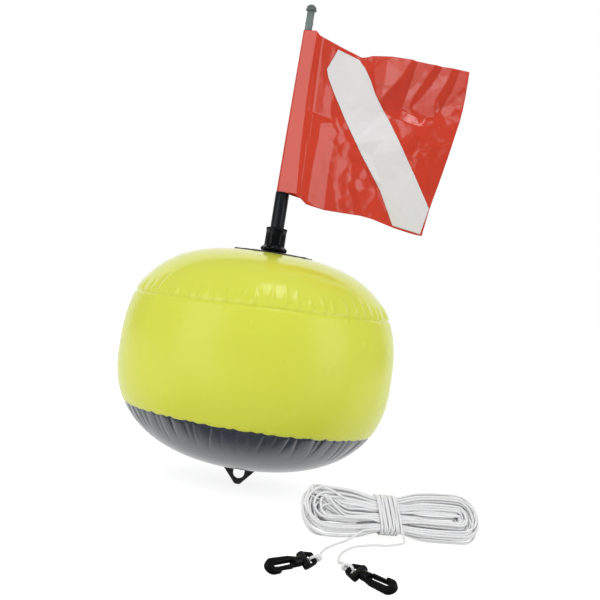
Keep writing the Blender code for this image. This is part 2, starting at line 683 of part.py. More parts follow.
def add_valve_body(materials, top_panel, frame):
    """The flanged tube through the panel, with the post that carries the stopper's strap."""
    opening_radius = VALVE_TUBE_RADIUS + GAP
    opening_depth = VALVE_TUBE_HEIGHT
    opening = turned_mesh("valve_opening", [(0.0, opening_depth), (opening_radius, opening_depth),
                                            (opening_radius, -opening_depth), (0.0, -opening_depth)],
                          VALVE_SIDES, closed=False)
    boolean(top_panel, add_object("valve_opening", opening, frame=frame), "DIFFERENCE")
    flange_top = GAP + VALVE_FLANGE
    profile = [(VALVE_TUBE_RADIUS, VALVE_TUBE_HEIGHT), (VALVE_TUBE_RADIUS, flange_top),
               (VALVE_FLANGE_RADIUS, flange_top - VALVE_FLANGE_DISH),
               (VALVE_FLANGE_RADIUS, GAP - VALVE_FLANGE_DISH),
               (VALVE_TUBE_RADIUS, GAP), (VALVE_TUBE_RADIUS, -VALVE_TUBE_INSIDE),
               (VALVE_BORE_RADIUS, -VALVE_TUBE_INSIDE), (VALVE_BORE_RADIUS, VALVE_TUBE_HEIGHT)]
    tube = turned_mesh("valve_body", profile, VALVE_SIDES)
    body = add_object("valve_body", tube, materials["yellow_moulding"], frame)
    post_foot = flange_top - VALVE_FLANGE / 2
    post = box_mesh("valve_post", (STRAP_REACH - POST_HALF_LENGTH, -STRAP_WIDTH / 2, post_foot),
                    (STRAP_REACH + POST_HALF_LENGTH, STRAP_WIDTH / 2, VALVE_TUBE_HEIGHT))
    boolean(body, add_object("valve_post", post, frame=frame), "UNION")


def add_valve_plug(materials, frame):
    """The stopper: a tapered plug whose strap bends at the post."""
    low = VALVE_TUBE_HEIGHT + GAP
    high = low + PLUG_HEAD
    pivot = Matrix.Translation((STRAP_REACH, 0, low + STRAP_THICKNESS / 2))
    axis = add_axis("valve_plug_axis", frame @ pivot)
    plug_radius = VALVE_BORE_RADIUS - GAP
    profile = [(0.0, high), (PLUG_HEAD_RADIUS, high), (PLUG_HEAD_RADIUS, low), (plug_radius, low),
               (plug_radius - PLUG_TAPER, low - PLUG_LENGTH), (0.0, low - PLUG_LENGTH)]
    plug = add_object("valve_plug", turned_mesh("valve_plug", profile, VALVE_SIDES, closed=False),
                      materials["yellow_moulding"], frame, axis)
    root = arc(STRAP_REACH, low + STRAP_THICKNESS / 2, STRAP_THICKNESS / 2, -90, 90, 4)
    start = PLUG_HEAD_RADIUS - STRAP_THICKNESS
    strap = plate_mesh("valve_strap", [(start, low)] + root + [(start, low + STRAP_THICKNESS)], STRAP_WIDTH)
    upright = frame @ Matrix.Rotation(radians(90), 4, "X")
    boolean(plug, add_object("valve_strap", strap, frame=upright), "UNION")


def add_valve_flap(materials, frame):
    """The inner flap that closes the tube against the air inside."""
    centre_z = -VALVE_TUBE_INSIDE - GAP - FLAP_THICKNESS / 2
    axis = add_axis("valve_flap_axis", frame @ Matrix.Translation((FLAP_RADIUS, 0, centre_z)))
    half = FLAP_THICKNESS / 2
    profile = [(0.0, half), (FLAP_RADIUS, half), (FLAP_RADIUS, -half), (0.0, -half)]
    add_object("valve_flap", turned_mesh("valve_flap", profile, VALVE_SIDES, closed=False),
               materials["clear_moulding"], frame @ Matrix.Translation((0, 0, centre_z)), axis)


def hank_matrix():
    """World matrix of the hank: X along it, Y across its loops, Z through its layers to the front."""
    along = Vector((cos(HANK_YAW), sin(HANK_YAW), 0))
    level = Vector((-sin(HANK_YAW), cos(HANK_YAW), 0))
    across = level * cos(HANK_TILT) + Vector((0, 0, sin(HANK_TILT)))
    matrix = Matrix((along, across, along.cross(across))).transposed().to_4x4()
    half_width = HANK_OUTER + LINE_RADIUS
    half_depth = HANK_FRONT + LINE_RADIUS
    rest = half_width * sin(HANK_TILT) + half_depth * cos(HANK_TILT) + HANK_REST
    matrix.translation = (HANK_CENTRE_X, HANK_CENTRE_Y, rest)
    return matrix


def smooth(value):
    """Ease from 0 to 1."""
    value = min(1.0, max(0.0, value))
    return value * value * (3 - 2 * value)


def draw_in(x):
    """How far the loops are drawn together at a place along the hank: 1 at the lobes."""
    distance = abs(x - WAIST_OFFSET) - WAIST_HALF_LENGTH
    shoulder = HANK_ARC_CENTRE * LOBE_SHOULDER_SHARE - WAIST_HALF_LENGTH
    return WAIST_SHARE + (1 - WAIST_SHARE) * smooth(distance / shoulder)


def loop_stations():
    """The places of one loop's 24 points: x, arc angle or None, and the side of a run."""
    shoulder = HANK_ARC_CENTRE * LOBE_SHOULDER_SHARE
    waist_left = WAIST_OFFSET - WAIST_HALF_LENGTH
    waist_right = WAIST_OFFSET + WAIST_HALF_LENGTH
    turns = [180 * step / (ARC_POINTS - 1) for step in range(ARC_POINTS)]
    stations = [(x, None, -1) for x in (WAIST_OFFSET, waist_right, shoulder)]
    stations += [(HANK_ARC_CENTRE, turn - 90, 1) for turn in turns]
    stations += [(x, None, 1) for x in (shoulder, waist_right, WAIST_OFFSET, waist_left, -shoulder)]
    stations += [(-HANK_ARC_CENTRE, turn + 90, 1) for turn in turns]
    stations += [(x, None, -1) for x in (-shoulder, waist_left)]
    return stations


def hank_point(station, spread, depth):
    """A point of a loop from its station, its spread from the middle and its depth."""
    x, angle, side = station
    if angle is None:
        return Vector((x, side * spread * draw_in(x), depth))
    return Vector((x + spread * cos(radians(angle)), spread * sin(radians(angle)), depth))


def loop_level(turn):
    """Which layer a turn lies in; it climbs along the lower run where the spiral reverses."""
    near = round(turn / LOOPS_PER_LAYER)
    past = turn - near * LOOPS_PER_LAYER
    if 0 < near < HANK_LAYERS and abs(past) < CLIMB_HALF_TURN:
        return near - 1 + smooth((past + CLIMB_HALF_TURN) / (2 * CLIMB_HALF_TURN))
    return min(HANK_LAYERS - 1, max(0, int(turn // LOOPS_PER_LAYER)))


def hank_route():
    """Centre line of the hank: its loops spiral in and out through the layers, front to back."""
    stations = loop_stations()
    count = len(stations)
    points = []
    for index in range(HANK_LAYERS * LOOPS_PER_LAYER * count - 1):
        turn = index / count
        from_inner = abs(turn % (2 * LOOPS_PER_LAYER) - LOOPS_PER_LAYER)
        spread = LOBE_INNER_RADIUS + LOBE_STEP * from_inner
        points.append(hank_point(stations[index % count], spread, HANK_FRONT - loop_level(turn) * LAYER_STEP))
    edge = -HANK_OUTER
    start_y = edge * draw_in(HANK_START) - HANK_START_DROP
    start_z = HANK_FRONT + HANK_START_LIFT
    waist_left = WAIST_OFFSET - WAIST_HALF_LENGTH
    ease_x = (HANK_START + END_RUN + waist_left) / 2
    begin = [Vector((HANK_START, start_y, start_z)), Vector((HANK_START + END_RUN, start_y, start_z)),
             Vector((ease_x, (start_y + edge * WAIST_SHARE) / 2, (start_z + HANK_FRONT) / 2)),
             Vector((waist_left, edge * WAIST_SHARE, HANK_FRONT))]
    end_y = edge * WAIST_SHARE
    finish = [Vector((HANK_END - 3 * END_RUN, end_y - LINE_DIAMETER, -WRAP_HALF_THROUGH + LINE_RADIUS)),
              Vector((HANK_END - END_RUN, end_y, -WRAP_HALF_THROUGH)),
              Vector((HANK_END, end_y, -WRAP_HALF_THROUGH))]
    return begin + points + finish


def wrap_section():
    """One turn round the waist in (y, z), from the lower back corner up the back."""
    flat_y = WRAP_HALF_ACROSS - WRAP_CORNER
    flat_z = WRAP_HALF_THROUGH - WRAP_CORNER
    points = [(side * flat_y, -WRAP_HALF_THROUGH) for side in (-1, -1 / 3, 1 / 3)]
    points += arc(flat_y, -flat_z, WRAP_CORNER, -90, 0, 2)
    points += arc(flat_y, flat_z, WRAP_CORNER, 0, 90, 2)
    points += [(flat_y / 3, WRAP_HALF_THROUGH), (-flat_y / 3, WRAP_HALF_THROUGH)]
    points += arc(-flat_y, flat_z, WRAP_CORNER, 90, 180, 2)
    points += arc(-flat_y, -flat_z, WRAP_CORNER, 180, 270, 2)[:-1]
    return points


def wrap_route():
    """Centre line of the wraps: it starts along the hank's end and stops heading down the front."""
    section = wrap_section()
    count = len(section)
    lengths = [(Vector(section[(step + 1) % count]) - Vector(section[step])).length for step in range(count)]
    around = sum(lengths)
    first_x = WAIST_OFFSET - WRAP_TURNS * WRAP_STEP / 2
    start_y, back = section[0]
    start_x = HANK_END + GAP
    points = [Vector((start_x, start_y, back)), Vector((start_x + END_RUN, start_y, back)),
              Vector((first_x - WRAP_STEP / 2, start_y + LINE_RADIUS / 2, back))]
    run = 0.0
    front_end = section.index(min(section, key=lambda point: (abs(point[1] - WRAP_HALF_THROUGH), point[0])))
    for index in range(1, (WRAP_TURNS - 1) * count + front_end + 1):
        run += lengths[(index - 1) % count]
        y, z = section[index % count]
        points.append(Vector((first_x + WRAP_STEP * run / around, y, z)))
    last = points[-1]
    points.append(Vector((last.x, -WRAP_HALF_ACROSS - END_RUN / 2, last.z)))
    return points


def least_gap(points, radius):
    """The least clear gap between stretches of one cord that aren't neighbours along it."""
    spacing = radius
    dense, travelled = [points[0]], [0.0]
    for start, end in zip(points, points[1:]):
        steps = max(1, round((end - start).length / spacing))
        for step in range(1, steps + 1):
            dense.append(start.lerp(end, step / steps))
            travelled.append(travelled[-1] + (end - start).length / steps)
    tree = KDTree(len(dense))
    for index, point in enumerate(dense):
        tree.insert(point, index)
    tree.balance()
    apart = min(distance for index, point in enumerate(dense)
                for _, other, distance in tree.find_range(point, 5 * radius)
                if abs(travelled[index] - travelled[other]) > 8 * radius)
    return apart - 2 * radius


def cord_curve(name, points, sides):
    """A tube along a centre line, with flat caps."""
    curve = bpy.data.curves.new(name, "CURVE")
    curve.dimensions = "3D"
    curve.bevel_depth = LINE_RADIUS
    curve.bevel_resolution = sides
    curve.use_fill_caps = True
    spline = curve.splines.new("POLY")
    spline.points.add(len(points) - 1)
    for target, point in zip(spline.points, points):
        target.co = (*point, 1.0)
    return curve


def smooth_route(points, spacing):
    """Evenly spaced points on a smooth curve through the route's own points."""
    padded = [2 * points[0] - points[1]] + points + [2 * points[-1] - points[-2]]
    dense = []
    fine_steps = 24
    for before, start, end, after in zip(padded, padded[1:], padded[2:], padded[3:]):
        for step in range(fine_steps):
            t = step / fine_steps
            point = 2 * start + (end - before) * t + (2 * before - 5 * start + 4 * end - after) * t ** 2
            dense.append((point + (3 * start - before - 3 * end + after) * t ** 3) / 2)
    dense.append(points[-1])
    coordinates = np.array(dense)
    travelled = np.concatenate([[0.0], np.cumsum(np.linalg.norm(np.diff(coordinates, axis=0), axis=1))])
    places = np.linspace(0.0, travelled[-1], max(2, round(travelled[-1] / spacing)) + 1)
    columns = [np.interp(places, travelled, coordinates[:, axis]) for axis in range(3)]
    return [Vector(point) for point in zip(*columns)]


def floor_points(route):
    """The hand-laid points of a lead in the world."""
    return [Vector((x, y, FLOOR_LINE_Z + lift)) for x, y, lift in route]


def lead_route(hank_end, leaving, route, lump, side):
    """A lead from the hank, along its hand-laid points, to the knot's lump."""
    first = hank_end + leaving * GAP
    square = first + leaving * END_RUN
    last = lump + side.normalized() * (KNOT_LUMP_RADIUS + GAP)
    before_last = last + side.normalized() * END_RUN
    middle = smooth_route([square] + floor_points(route) + [before_last], LEAD_POINT_SPACING)
    return [first] + middle + [last]


def hook_matrix(eye, direction):
    """World matrix of a hook: X to its bow, Y to its back, its flat side leaning to the front."""
    along = direction.normalized()
    face = Vector((0, -sin(HOOK_TILT), cos(HOOK_TILT)))
    face = (face - face.dot(along) * along).normalized()
    matrix = Matrix((along, along.cross(face), -face)).transposed().to_4x4()
    matrix.translation = eye
    return matrix


def add_knot(name, frame, material, parent):
    """A loop of line through the eye with the knot's lump behind the bar."""

    def build(work):
        bmesh.ops.create_uvsphere(work, u_segments=10, v_segments=7, radius=KNOT_LUMP_RADIUS,
                                  matrix=Matrix.Translation((LUMP_X, 0, 0)))

    knot = add_object(name, mesh_from(build, name), material, frame, parent)
    ring = [(KNOT_LOOP_RADIUS + LINE_RADIUS * cos(radians(turn)), LINE_RADIUS * sin(radians(turn)))
            for turn in range(0, 360, 60)]
    across = frame @ Matrix.Translation((EYE_HOLE_NEAR / 2, 0, 0)) @ Matrix.Rotation(radians(90), 4, "X")
    loop = add_object(name + "_loop", turned_mesh(name + "_loop", ring, 12), frame=across)
    boolean(knot, loop, "UNION")


def add_eye(name, frame, material, parent):
    """The swivel eye: a tapered ring for the line, a collar and the headed stem."""
    half = EYE_BAR_HALF_WIDTH
    outer = [(0.0, -half + EYE_CORNER), (EYE_CORNER, -half), (EYE_SHOULDER, -COLLAR_HALF_WIDTH),
             (COLLAR_X, -COLLAR_HALF_WIDTH), (COLLAR_X, COLLAR_HALF_WIDTH), (EYE_SHOULDER, COLLAR_HALF_WIDTH),
             (EYE_CORNER, half), (0.0, half - EYE_CORNER)]
    eye = add_object(name, plate_mesh(name, outer, EYE_THICKNESS), material, frame, parent)
    hole = [(EYE_HOLE_NEAR, -EYE_HOLE_NEAR_HALF), (EYE_HOLE_FAR, -EYE_HOLE_FAR_HALF),
            (EYE_HOLE_FAR, EYE_HOLE_FAR_HALF), (EYE_HOLE_NEAR, EYE_HOLE_NEAR_HALF)]
    cutter = add_object(name + "_hole", plate_mesh(name + "_hole", hole, 3 * EYE_THICKNESS), frame=frame)
    boolean(eye, cutter, "DIFFERENCE")
    round_edges(eye, HOOK_EDGE_ROUND)
    rim = COLLAR_HALF_WIDTH - COLLAR_END
    barrel = [(0.0, COLLAR_HALF_WIDTH), (COLLAR_END_RADIUS, COLLAR_HALF_WIDTH), (COLLAR_RADIUS, rim),
              (COLLAR_RADIUS, -rim), (COLLAR_END_RADIUS, -COLLAR_HALF_WIDTH), (0.0, -COLLAR_HALF_WIDTH)]
    across = frame @ Matrix.Translation((COLLAR_X, 0, 0)) @ Matrix.Rotation(radians(90), 4, "X")
    collar_mesh = turned_mesh(name + "_collar", barrel, 12, closed=False)
    boolean(eye, add_object(name + "_collar", collar_mesh, frame=across), "UNION")
    head_end = STEM_HEAD_START + STEM_HEAD_LENGTH
    stem_profile = [(0.0, head_end), (STEM_HEAD_RADIUS, head_end), (STEM_HEAD_RADIUS, STEM_HEAD_START),
                    (STEM_RADIUS, STEM_HEAD_START), (STEM_RADIUS, COLLAR_X), (0.0, COLLAR_X)]
    along = frame @ Matrix.Rotation(radians(90), 4, "Y")
    stem_mesh = turned_mesh(name + "_stem", stem_profile, 12, closed=False)
    boolean(eye, add_object(name + "_stem", stem_mesh, frame=along), "UNION")


def hook_outline():
    """The hook's open outline: back, bow, nose with its notch, and the slot's inner edge."""
    bow = arc(BOW_X, 0.0, BOW_RADIUS, 90, -90, 8)
    inner_middle = (BACK_INNER + NOSE_INNER) / 2
    inner_radius = (BACK_INNER - NOSE_INNER) / 2
    inner = arc(BOW_INNER_X, inner_middle, inner_radius, -90, 90, 4)
    back = [(BACK_START, -BACK_START_OUTER), (BACK_START, BACK_START_OUTER),
            (BACK_SHOULDER, BACK_SHOULDER_OUTER)]
    nose = [(NOSE_END + NOSE_BEVEL, -BOW_RADIUS), (NOSE_END, -BOW_RADIUS + NOSE_BEVEL),
            (NOSE_END, -NOTCH_DEPTH), (NOTCH_END, -NOTCH_DEPTH), (NOTCH_END, NOSE_INNER)]
    root = [(BOSS_END + BACK_INNER, BACK_INNER), (BOSS_END - GAP, 0.0),
            (BOSS_END - GAP, -BACK_START_OUTER / 2)]
    return (back + bow + nose + inner + root)[::-1]


def add_hook_body(name, frame, material, parent):
    """The hook: a flat J with a round boss bored for the stem."""
    hook = add_object(name, plate_mesh(name, hook_outline(), HOOK_THICKNESS), material, frame, parent)
    round_edges(hook, HOOK_EDGE_ROUND)
    along = frame @ Matrix.Rotation(radians(90), 4, "Y")
    boss_profile = [(0.0, BOSS_END), (BOSS_RADIUS, BOSS_END), (BOSS_RADIUS, BOSS_START), (0.0, BOSS_START)]
    boss_mesh = turned_mesh(name + "_boss", boss_profile, 16, closed=False)
    boolean(hook, add_object(name + "_boss", boss_mesh, frame=along), "UNION")
    neck, chamber = STEM_RADIUS + GAP, STEM_HEAD_RADIUS + GAP
    chamber_start = STEM_HEAD_START - GAP
    chamber_end = STEM_HEAD_START + STEM_HEAD_LENGTH + GAP
    neck_end = BOSS_START - BOSS_RADIUS
    bore_profile = [(0.0, chamber_end), (chamber, chamber_end), (chamber, chamber_start),
                    (neck, chamber_start), (neck, neck_end), (0.0, neck_end)]
    bore_mesh = turned_mesh(name + "_bore", bore_profile, 12, closed=False)
    boolean(hook, add_object(name + "_bore", bore_mesh, frame=along), "DIFFERENCE")


def add_tongue(name, frame, material, parent):
    """The springy tongue that closes the hook, on an axis at its root."""
    axis = add_axis(name + "_axis", frame @ Matrix.Translation((TONGUE_PIVOT_X, TONGUE_PIVOT_Y, 0)), parent)
    tip_x = NOTCH_END - GAP
    tip_low = -NOTCH_DEPTH + GAP
    outline = [(tip_x - HOOK_EDGE_ROUND, tip_low), (tip_x, tip_low + HOOK_EDGE_ROUND)]
    outline += [(tip_x, tip_low + TONGUE_TIP_WIDTH)]
    outline += arc(TONGUE_PIVOT_X, TONGUE_PIVOT_Y, TONGUE_ROOT_RADIUS, 90, 270, 6)
    add_object(name, plate_mesh(name, outline, TONGUE_THICKNESS), material, frame, axis)


def add_hook(letter, eye, direction, materials, line_axis):
    """One snap hook on the line: knot, swivel eye, hook and tongue."""
    frame = hook_matrix(eye, direction)
    add_knot(f"knot_{letter}", frame, materials["white_line"], line_axis)
    add_eye(f"hook_{letter}_eye", frame, materials["black_moulding"], line_axis)
    swivel = add_axis(f"hook_{letter}_swivel", frame, line_axis)
    add_hook_body(f"hook_{letter}_body", frame, materials["black_moulding"], swivel)
    add_tongue(f"hook_{letter}_tongue", frame, materials["black_moulding"], swivel)
    return frame @ Vector((LUMP_X, 0, 0))


def add_line(materials):
    """The hanked line with its wraps, leads, knots and hooks."""
    hank_frame = hank_matrix()
    line_axis = add_axis("line_axis", Matrix.Translation(hank_frame.translation))
    hank, wraps = hank_route(), wrap_route()
    for name, route in (("line_hank", hank), ("line_wraps", wraps)):
        gap = least_gap(route, LINE_RADIUS)
        print(f"{name}: least gap to itself {gap * 1000:.2f} mm, wanted over {LEAST_LINE_GAP * 1000:.2f} mm")
        add_object(name, cord_curve(name, route, 1), materials["white_line"], hank_frame, line_axis)
    lump_a = add_hook("a", HOOK_A_EYE, HOOK_A_DIRECTION, materials, line_axis)
    lump_b = add_hook("b", HOOK_B_EYE, HOOK_B_DIRECTION, materials, line_axis)
    turn = hank_frame.to_3x3()
    start_a, way_a = hank_frame @ hank[0], turn @ Vector((-1, 0, 0))
    start_b, way_b = hank_frame @ wraps[-1], turn @ Vector((0, -1, 0))
    lead_a = lead_route(start_a, way_a, LEAD_A_ROUTE, lump_a, HOOK_A_LEAD_SIDE)
    lead_b = lead_route(start_b, way_b, LEAD_B_ROUTE, lump_b, HOOK_B_LEAD_SIDE)
    for name, route in (("line_lead_a", lead_a), ("line_lead_b", lead_b)):
        add_object(name, cord_curve(name, route, 2), materials["white_line"], parent=line_axis)


def make_materials():
    """The part's materials by name."""
    return {
        "yellow_pvc": make_material("yellow_pvc", (0.67, 0.73, 0.10), 0.25),
        "slate_pvc": make_material("slate_pvc", (0.055, 0.065, 0.085), 0.28),
        "red_pvc": make_material("red_pvc", (0.67, 0.06, 0.02), 0.25),
        "white_pvc": make_material("white_pvc", (0.74, 0.74, 0.72), 0.35),
        "black_sheet": make_material("black_sheet", (0.012, 0.012, 0.014), 0.40),
        "black_moulding": make_material("black_moulding", (0.010, 0.010, 0.012), 0.28),
        "black_tube": make_material("black_tube", (0.008, 0.010, 0.014), 0.45),
        "grey_rod": make_material("grey_rod", (0.16, 0.20, 0.19), 0.40),
        "yellow_moulding": make_material("yellow_moulding", (0.60, 0.66, 0.10), 0.35),
        "clear_moulding": make_material("clear_moulding", (0.70, 0.72, 0.60), 0.30),
        "white_line": make_material("white_line", (0.80, 0.81, 0.83), 0.75),
    }


def main():
    """Build every piece."""
    clear_scene()
    materials = make_materials()
    top_mesh = end_panel_mesh("top_panel", TOP_SEAM_Z, True)
    top_panel = add_object("top_panel", top_mesh, materials["yellow_pvc"])
    add_object("side_band", side_band_mesh("side_band"), materials["yellow_pvc"])
    bottom_mesh = end_panel_mesh("bottom_panel", BOTTOM_SEAM_Z, False)
    add_object("bottom_panel", bottom_mesh, materials["slate_pvc"])
    for name, radius in (("socket_patch", SOCKET_PATCH_RADIUS), ("tether_patch", TETHER_PATCH_RADIUS)):
        add_object(name, patch_mesh(name, radius, name == "socket_patch"), materials["black_sheet"])
    add_tab(materials)
    add_object("mast_socket", socket_mesh("mast_socket"), materials["black_moulding"])
    mast_axis = add_axis("mast_axis", Matrix.Translation((0, 0, MAST_FOOT_Z)))
    finishes = {"mast_lower": "black_tube", "mast_bush_upper": "black_moulding",
                "mast_bush_lower": "black_moulding", "mast_upper": "grey_rod", "mast_cap": "grey_rod"}
    for name, mesh in mast_meshes().items():
        add_object(name, mesh, materials[finishes[name]], parent=mast_axis)
    add_flag(materials, add_axis("flag_axis", Matrix.Translation((0, 0, FLAG_FOOT_Z)), mast_axis))
    frame = valve_frame()
    add_valve_body(materials, top_panel, frame)
    add_valve_plug(materials, frame)
    add_valve_flap(materials, frame)
    add_line(materials)


main()
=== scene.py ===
"""Looks of the inflatable dive flag float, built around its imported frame.

The float stands on the mast axis (Z) with the foot of its tether tab at z = 0. The flag flies
toward +X and the hanked line with its two snap hooks lies in front (-Y). All sizes are metres.
"""

import json
import logging
import math
from dataclasses import dataclass
from enum import Enum
from typing import Any, Callable, ClassVar, Iterable, Optional, Sequence, Union

import bmesh
import bpy
import numpy as np
from mathutils import Matrix, Vector, noise
from mathutils.geometry import delaunay_2d_cdt
from mathutils.kdtree import KDTree

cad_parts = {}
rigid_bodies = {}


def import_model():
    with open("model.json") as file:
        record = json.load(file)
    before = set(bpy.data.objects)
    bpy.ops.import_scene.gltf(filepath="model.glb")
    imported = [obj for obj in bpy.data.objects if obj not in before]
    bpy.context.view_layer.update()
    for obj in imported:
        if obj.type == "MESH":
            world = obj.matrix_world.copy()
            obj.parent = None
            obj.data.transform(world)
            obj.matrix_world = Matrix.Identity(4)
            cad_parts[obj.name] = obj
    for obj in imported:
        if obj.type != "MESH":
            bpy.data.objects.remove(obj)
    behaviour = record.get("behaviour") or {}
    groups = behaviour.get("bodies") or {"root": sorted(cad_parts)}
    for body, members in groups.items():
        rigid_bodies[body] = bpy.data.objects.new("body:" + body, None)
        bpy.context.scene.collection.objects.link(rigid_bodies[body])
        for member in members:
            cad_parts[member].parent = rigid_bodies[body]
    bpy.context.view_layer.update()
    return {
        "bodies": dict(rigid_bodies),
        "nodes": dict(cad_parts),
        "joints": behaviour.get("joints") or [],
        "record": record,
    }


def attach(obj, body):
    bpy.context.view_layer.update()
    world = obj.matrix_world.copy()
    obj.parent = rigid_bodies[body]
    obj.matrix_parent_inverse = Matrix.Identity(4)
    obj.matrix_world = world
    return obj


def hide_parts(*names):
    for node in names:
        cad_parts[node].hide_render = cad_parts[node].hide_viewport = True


LOG = logging.getLogger("dive_flag_float")

Colour = tuple[float, float, float]
Profile = list[tuple[float, float]]
Outline = list[tuple[float, float]]
Operand = Union["Signal", float]


class Slot(Enum):
    """The record's material slots."""

    YELLOW_PVC = "yellow_pvc"
    SLATE_PVC = "slate_pvc"
    RED_PVC = "red_pvc"
    WHITE_PVC = "white_pvc"
    BLACK_SHEET = "black_sheet"
    BLACK_MOULDING = "black_moulding"
    BLACK_TUBE = "black_tube"
    GREY_ROD = "grey_rod"
    YELLOW_MOULDING = "yellow_moulding"
    CLEAR_MOULDING = "clear_moulding"
    WHITE_LINE = "white_line"


class Body(Enum):
    """The rigid bodies that pieces ride on."""

    FLOAT = "float"
    MAST = "mast"
    FLAG = "flag_sheet"
    PLUG = "plug"
    FLAP = "flap"
    LINE = "line"
    HOOK_A = "hook_a"
    HOOK_B = "hook_b"
    TONGUE_A = "tongue_a"
    TONGUE_B = "tongue_b"


class Pole(Enum):
    """Which end of the ball a panel or patch closes."""

    CROWN = 1
    KEEL = -1


# Shader nodes


class Signal:
    """A socket that carries a number; sums on it add Math nodes to its tree."""

    def __init__(self, tree: "FinishTree", socket: bpy.types.NodeSocket) -> None:
        """Wrap a socket.

        Args:
            tree: The tree that the socket belongs to.
            socket: The output that carries the number.
        """
        self.tree = tree
        self.socket = socket

    def _math(self, operation: str, *operands: Operand) -> "Signal":
        """Add one Math node.

        Args:
            operation: The node's operation.
            operands: Its inputs in order.

        Returns:
            The node's result.
        """
        return self.tree.number("ShaderNodeMath", {"operation": operation}, dict(enumerate(operands)))

    def __add__(self, other: Operand) -> "Signal":
        """Sum."""
        return self._math("ADD", self, other)

    def __radd__(self, other: float) -> "Signal":
        """Sum, number first."""
        return self._math("ADD", other, self)

    def __sub__(self, other: Operand) -> "Signal":
        """Difference."""
        return self._math("SUBTRACT", self, other)

    def __rsub__(self, other: float) -> "Signal":
        """Difference, number first."""
        return self._math("SUBTRACT", other, self)

    def __mul__(self, other: Operand) -> "Signal":
        """Product."""
        return self._math("MULTIPLY", self, other)

    def __rmul__(self, other: float) -> "Signal":
        """Product, number first."""
        return self._math("MULTIPLY", other, self)

    def __abs__(self) -> "Signal":
        """Size without its sign."""
        return self._math("ABSOLUTE", self)

    def sine(self) -> "Signal":
        """Sine of an angle in radians."""
        return self._math("SINE", self)

    def angle_from(self, other: "Signal") -> "Signal":
        """Angle whose sine is this signal and whose cosine is the other."""
        return self._math("ARCTAN2", self, other)

    def larger(self, other: Operand) -> "Signal":
        """The larger of two signals."""
        return self._math("MAXIMUM", self, other)

    def between(self, low: float, high: float, out_low: float = 0.0, out_high: float = 1.0) -> "Signal":
        """Ease the signal from one range to another and hold it there.

        Args:
            low: Value that gives out_low.
            high: Value that gives out_high.
            out_low: First result.
            out_high: Last result.

        Returns:
            The mapped signal.
        """
        settings = {"interpolation_type": "SMOOTHSTEP"}
        inputs = {0: self, 1: low, 2: high, 3: out_low, 4: out_high}
        return self.tree.number("ShaderNodeMapRange", settings, inputs)


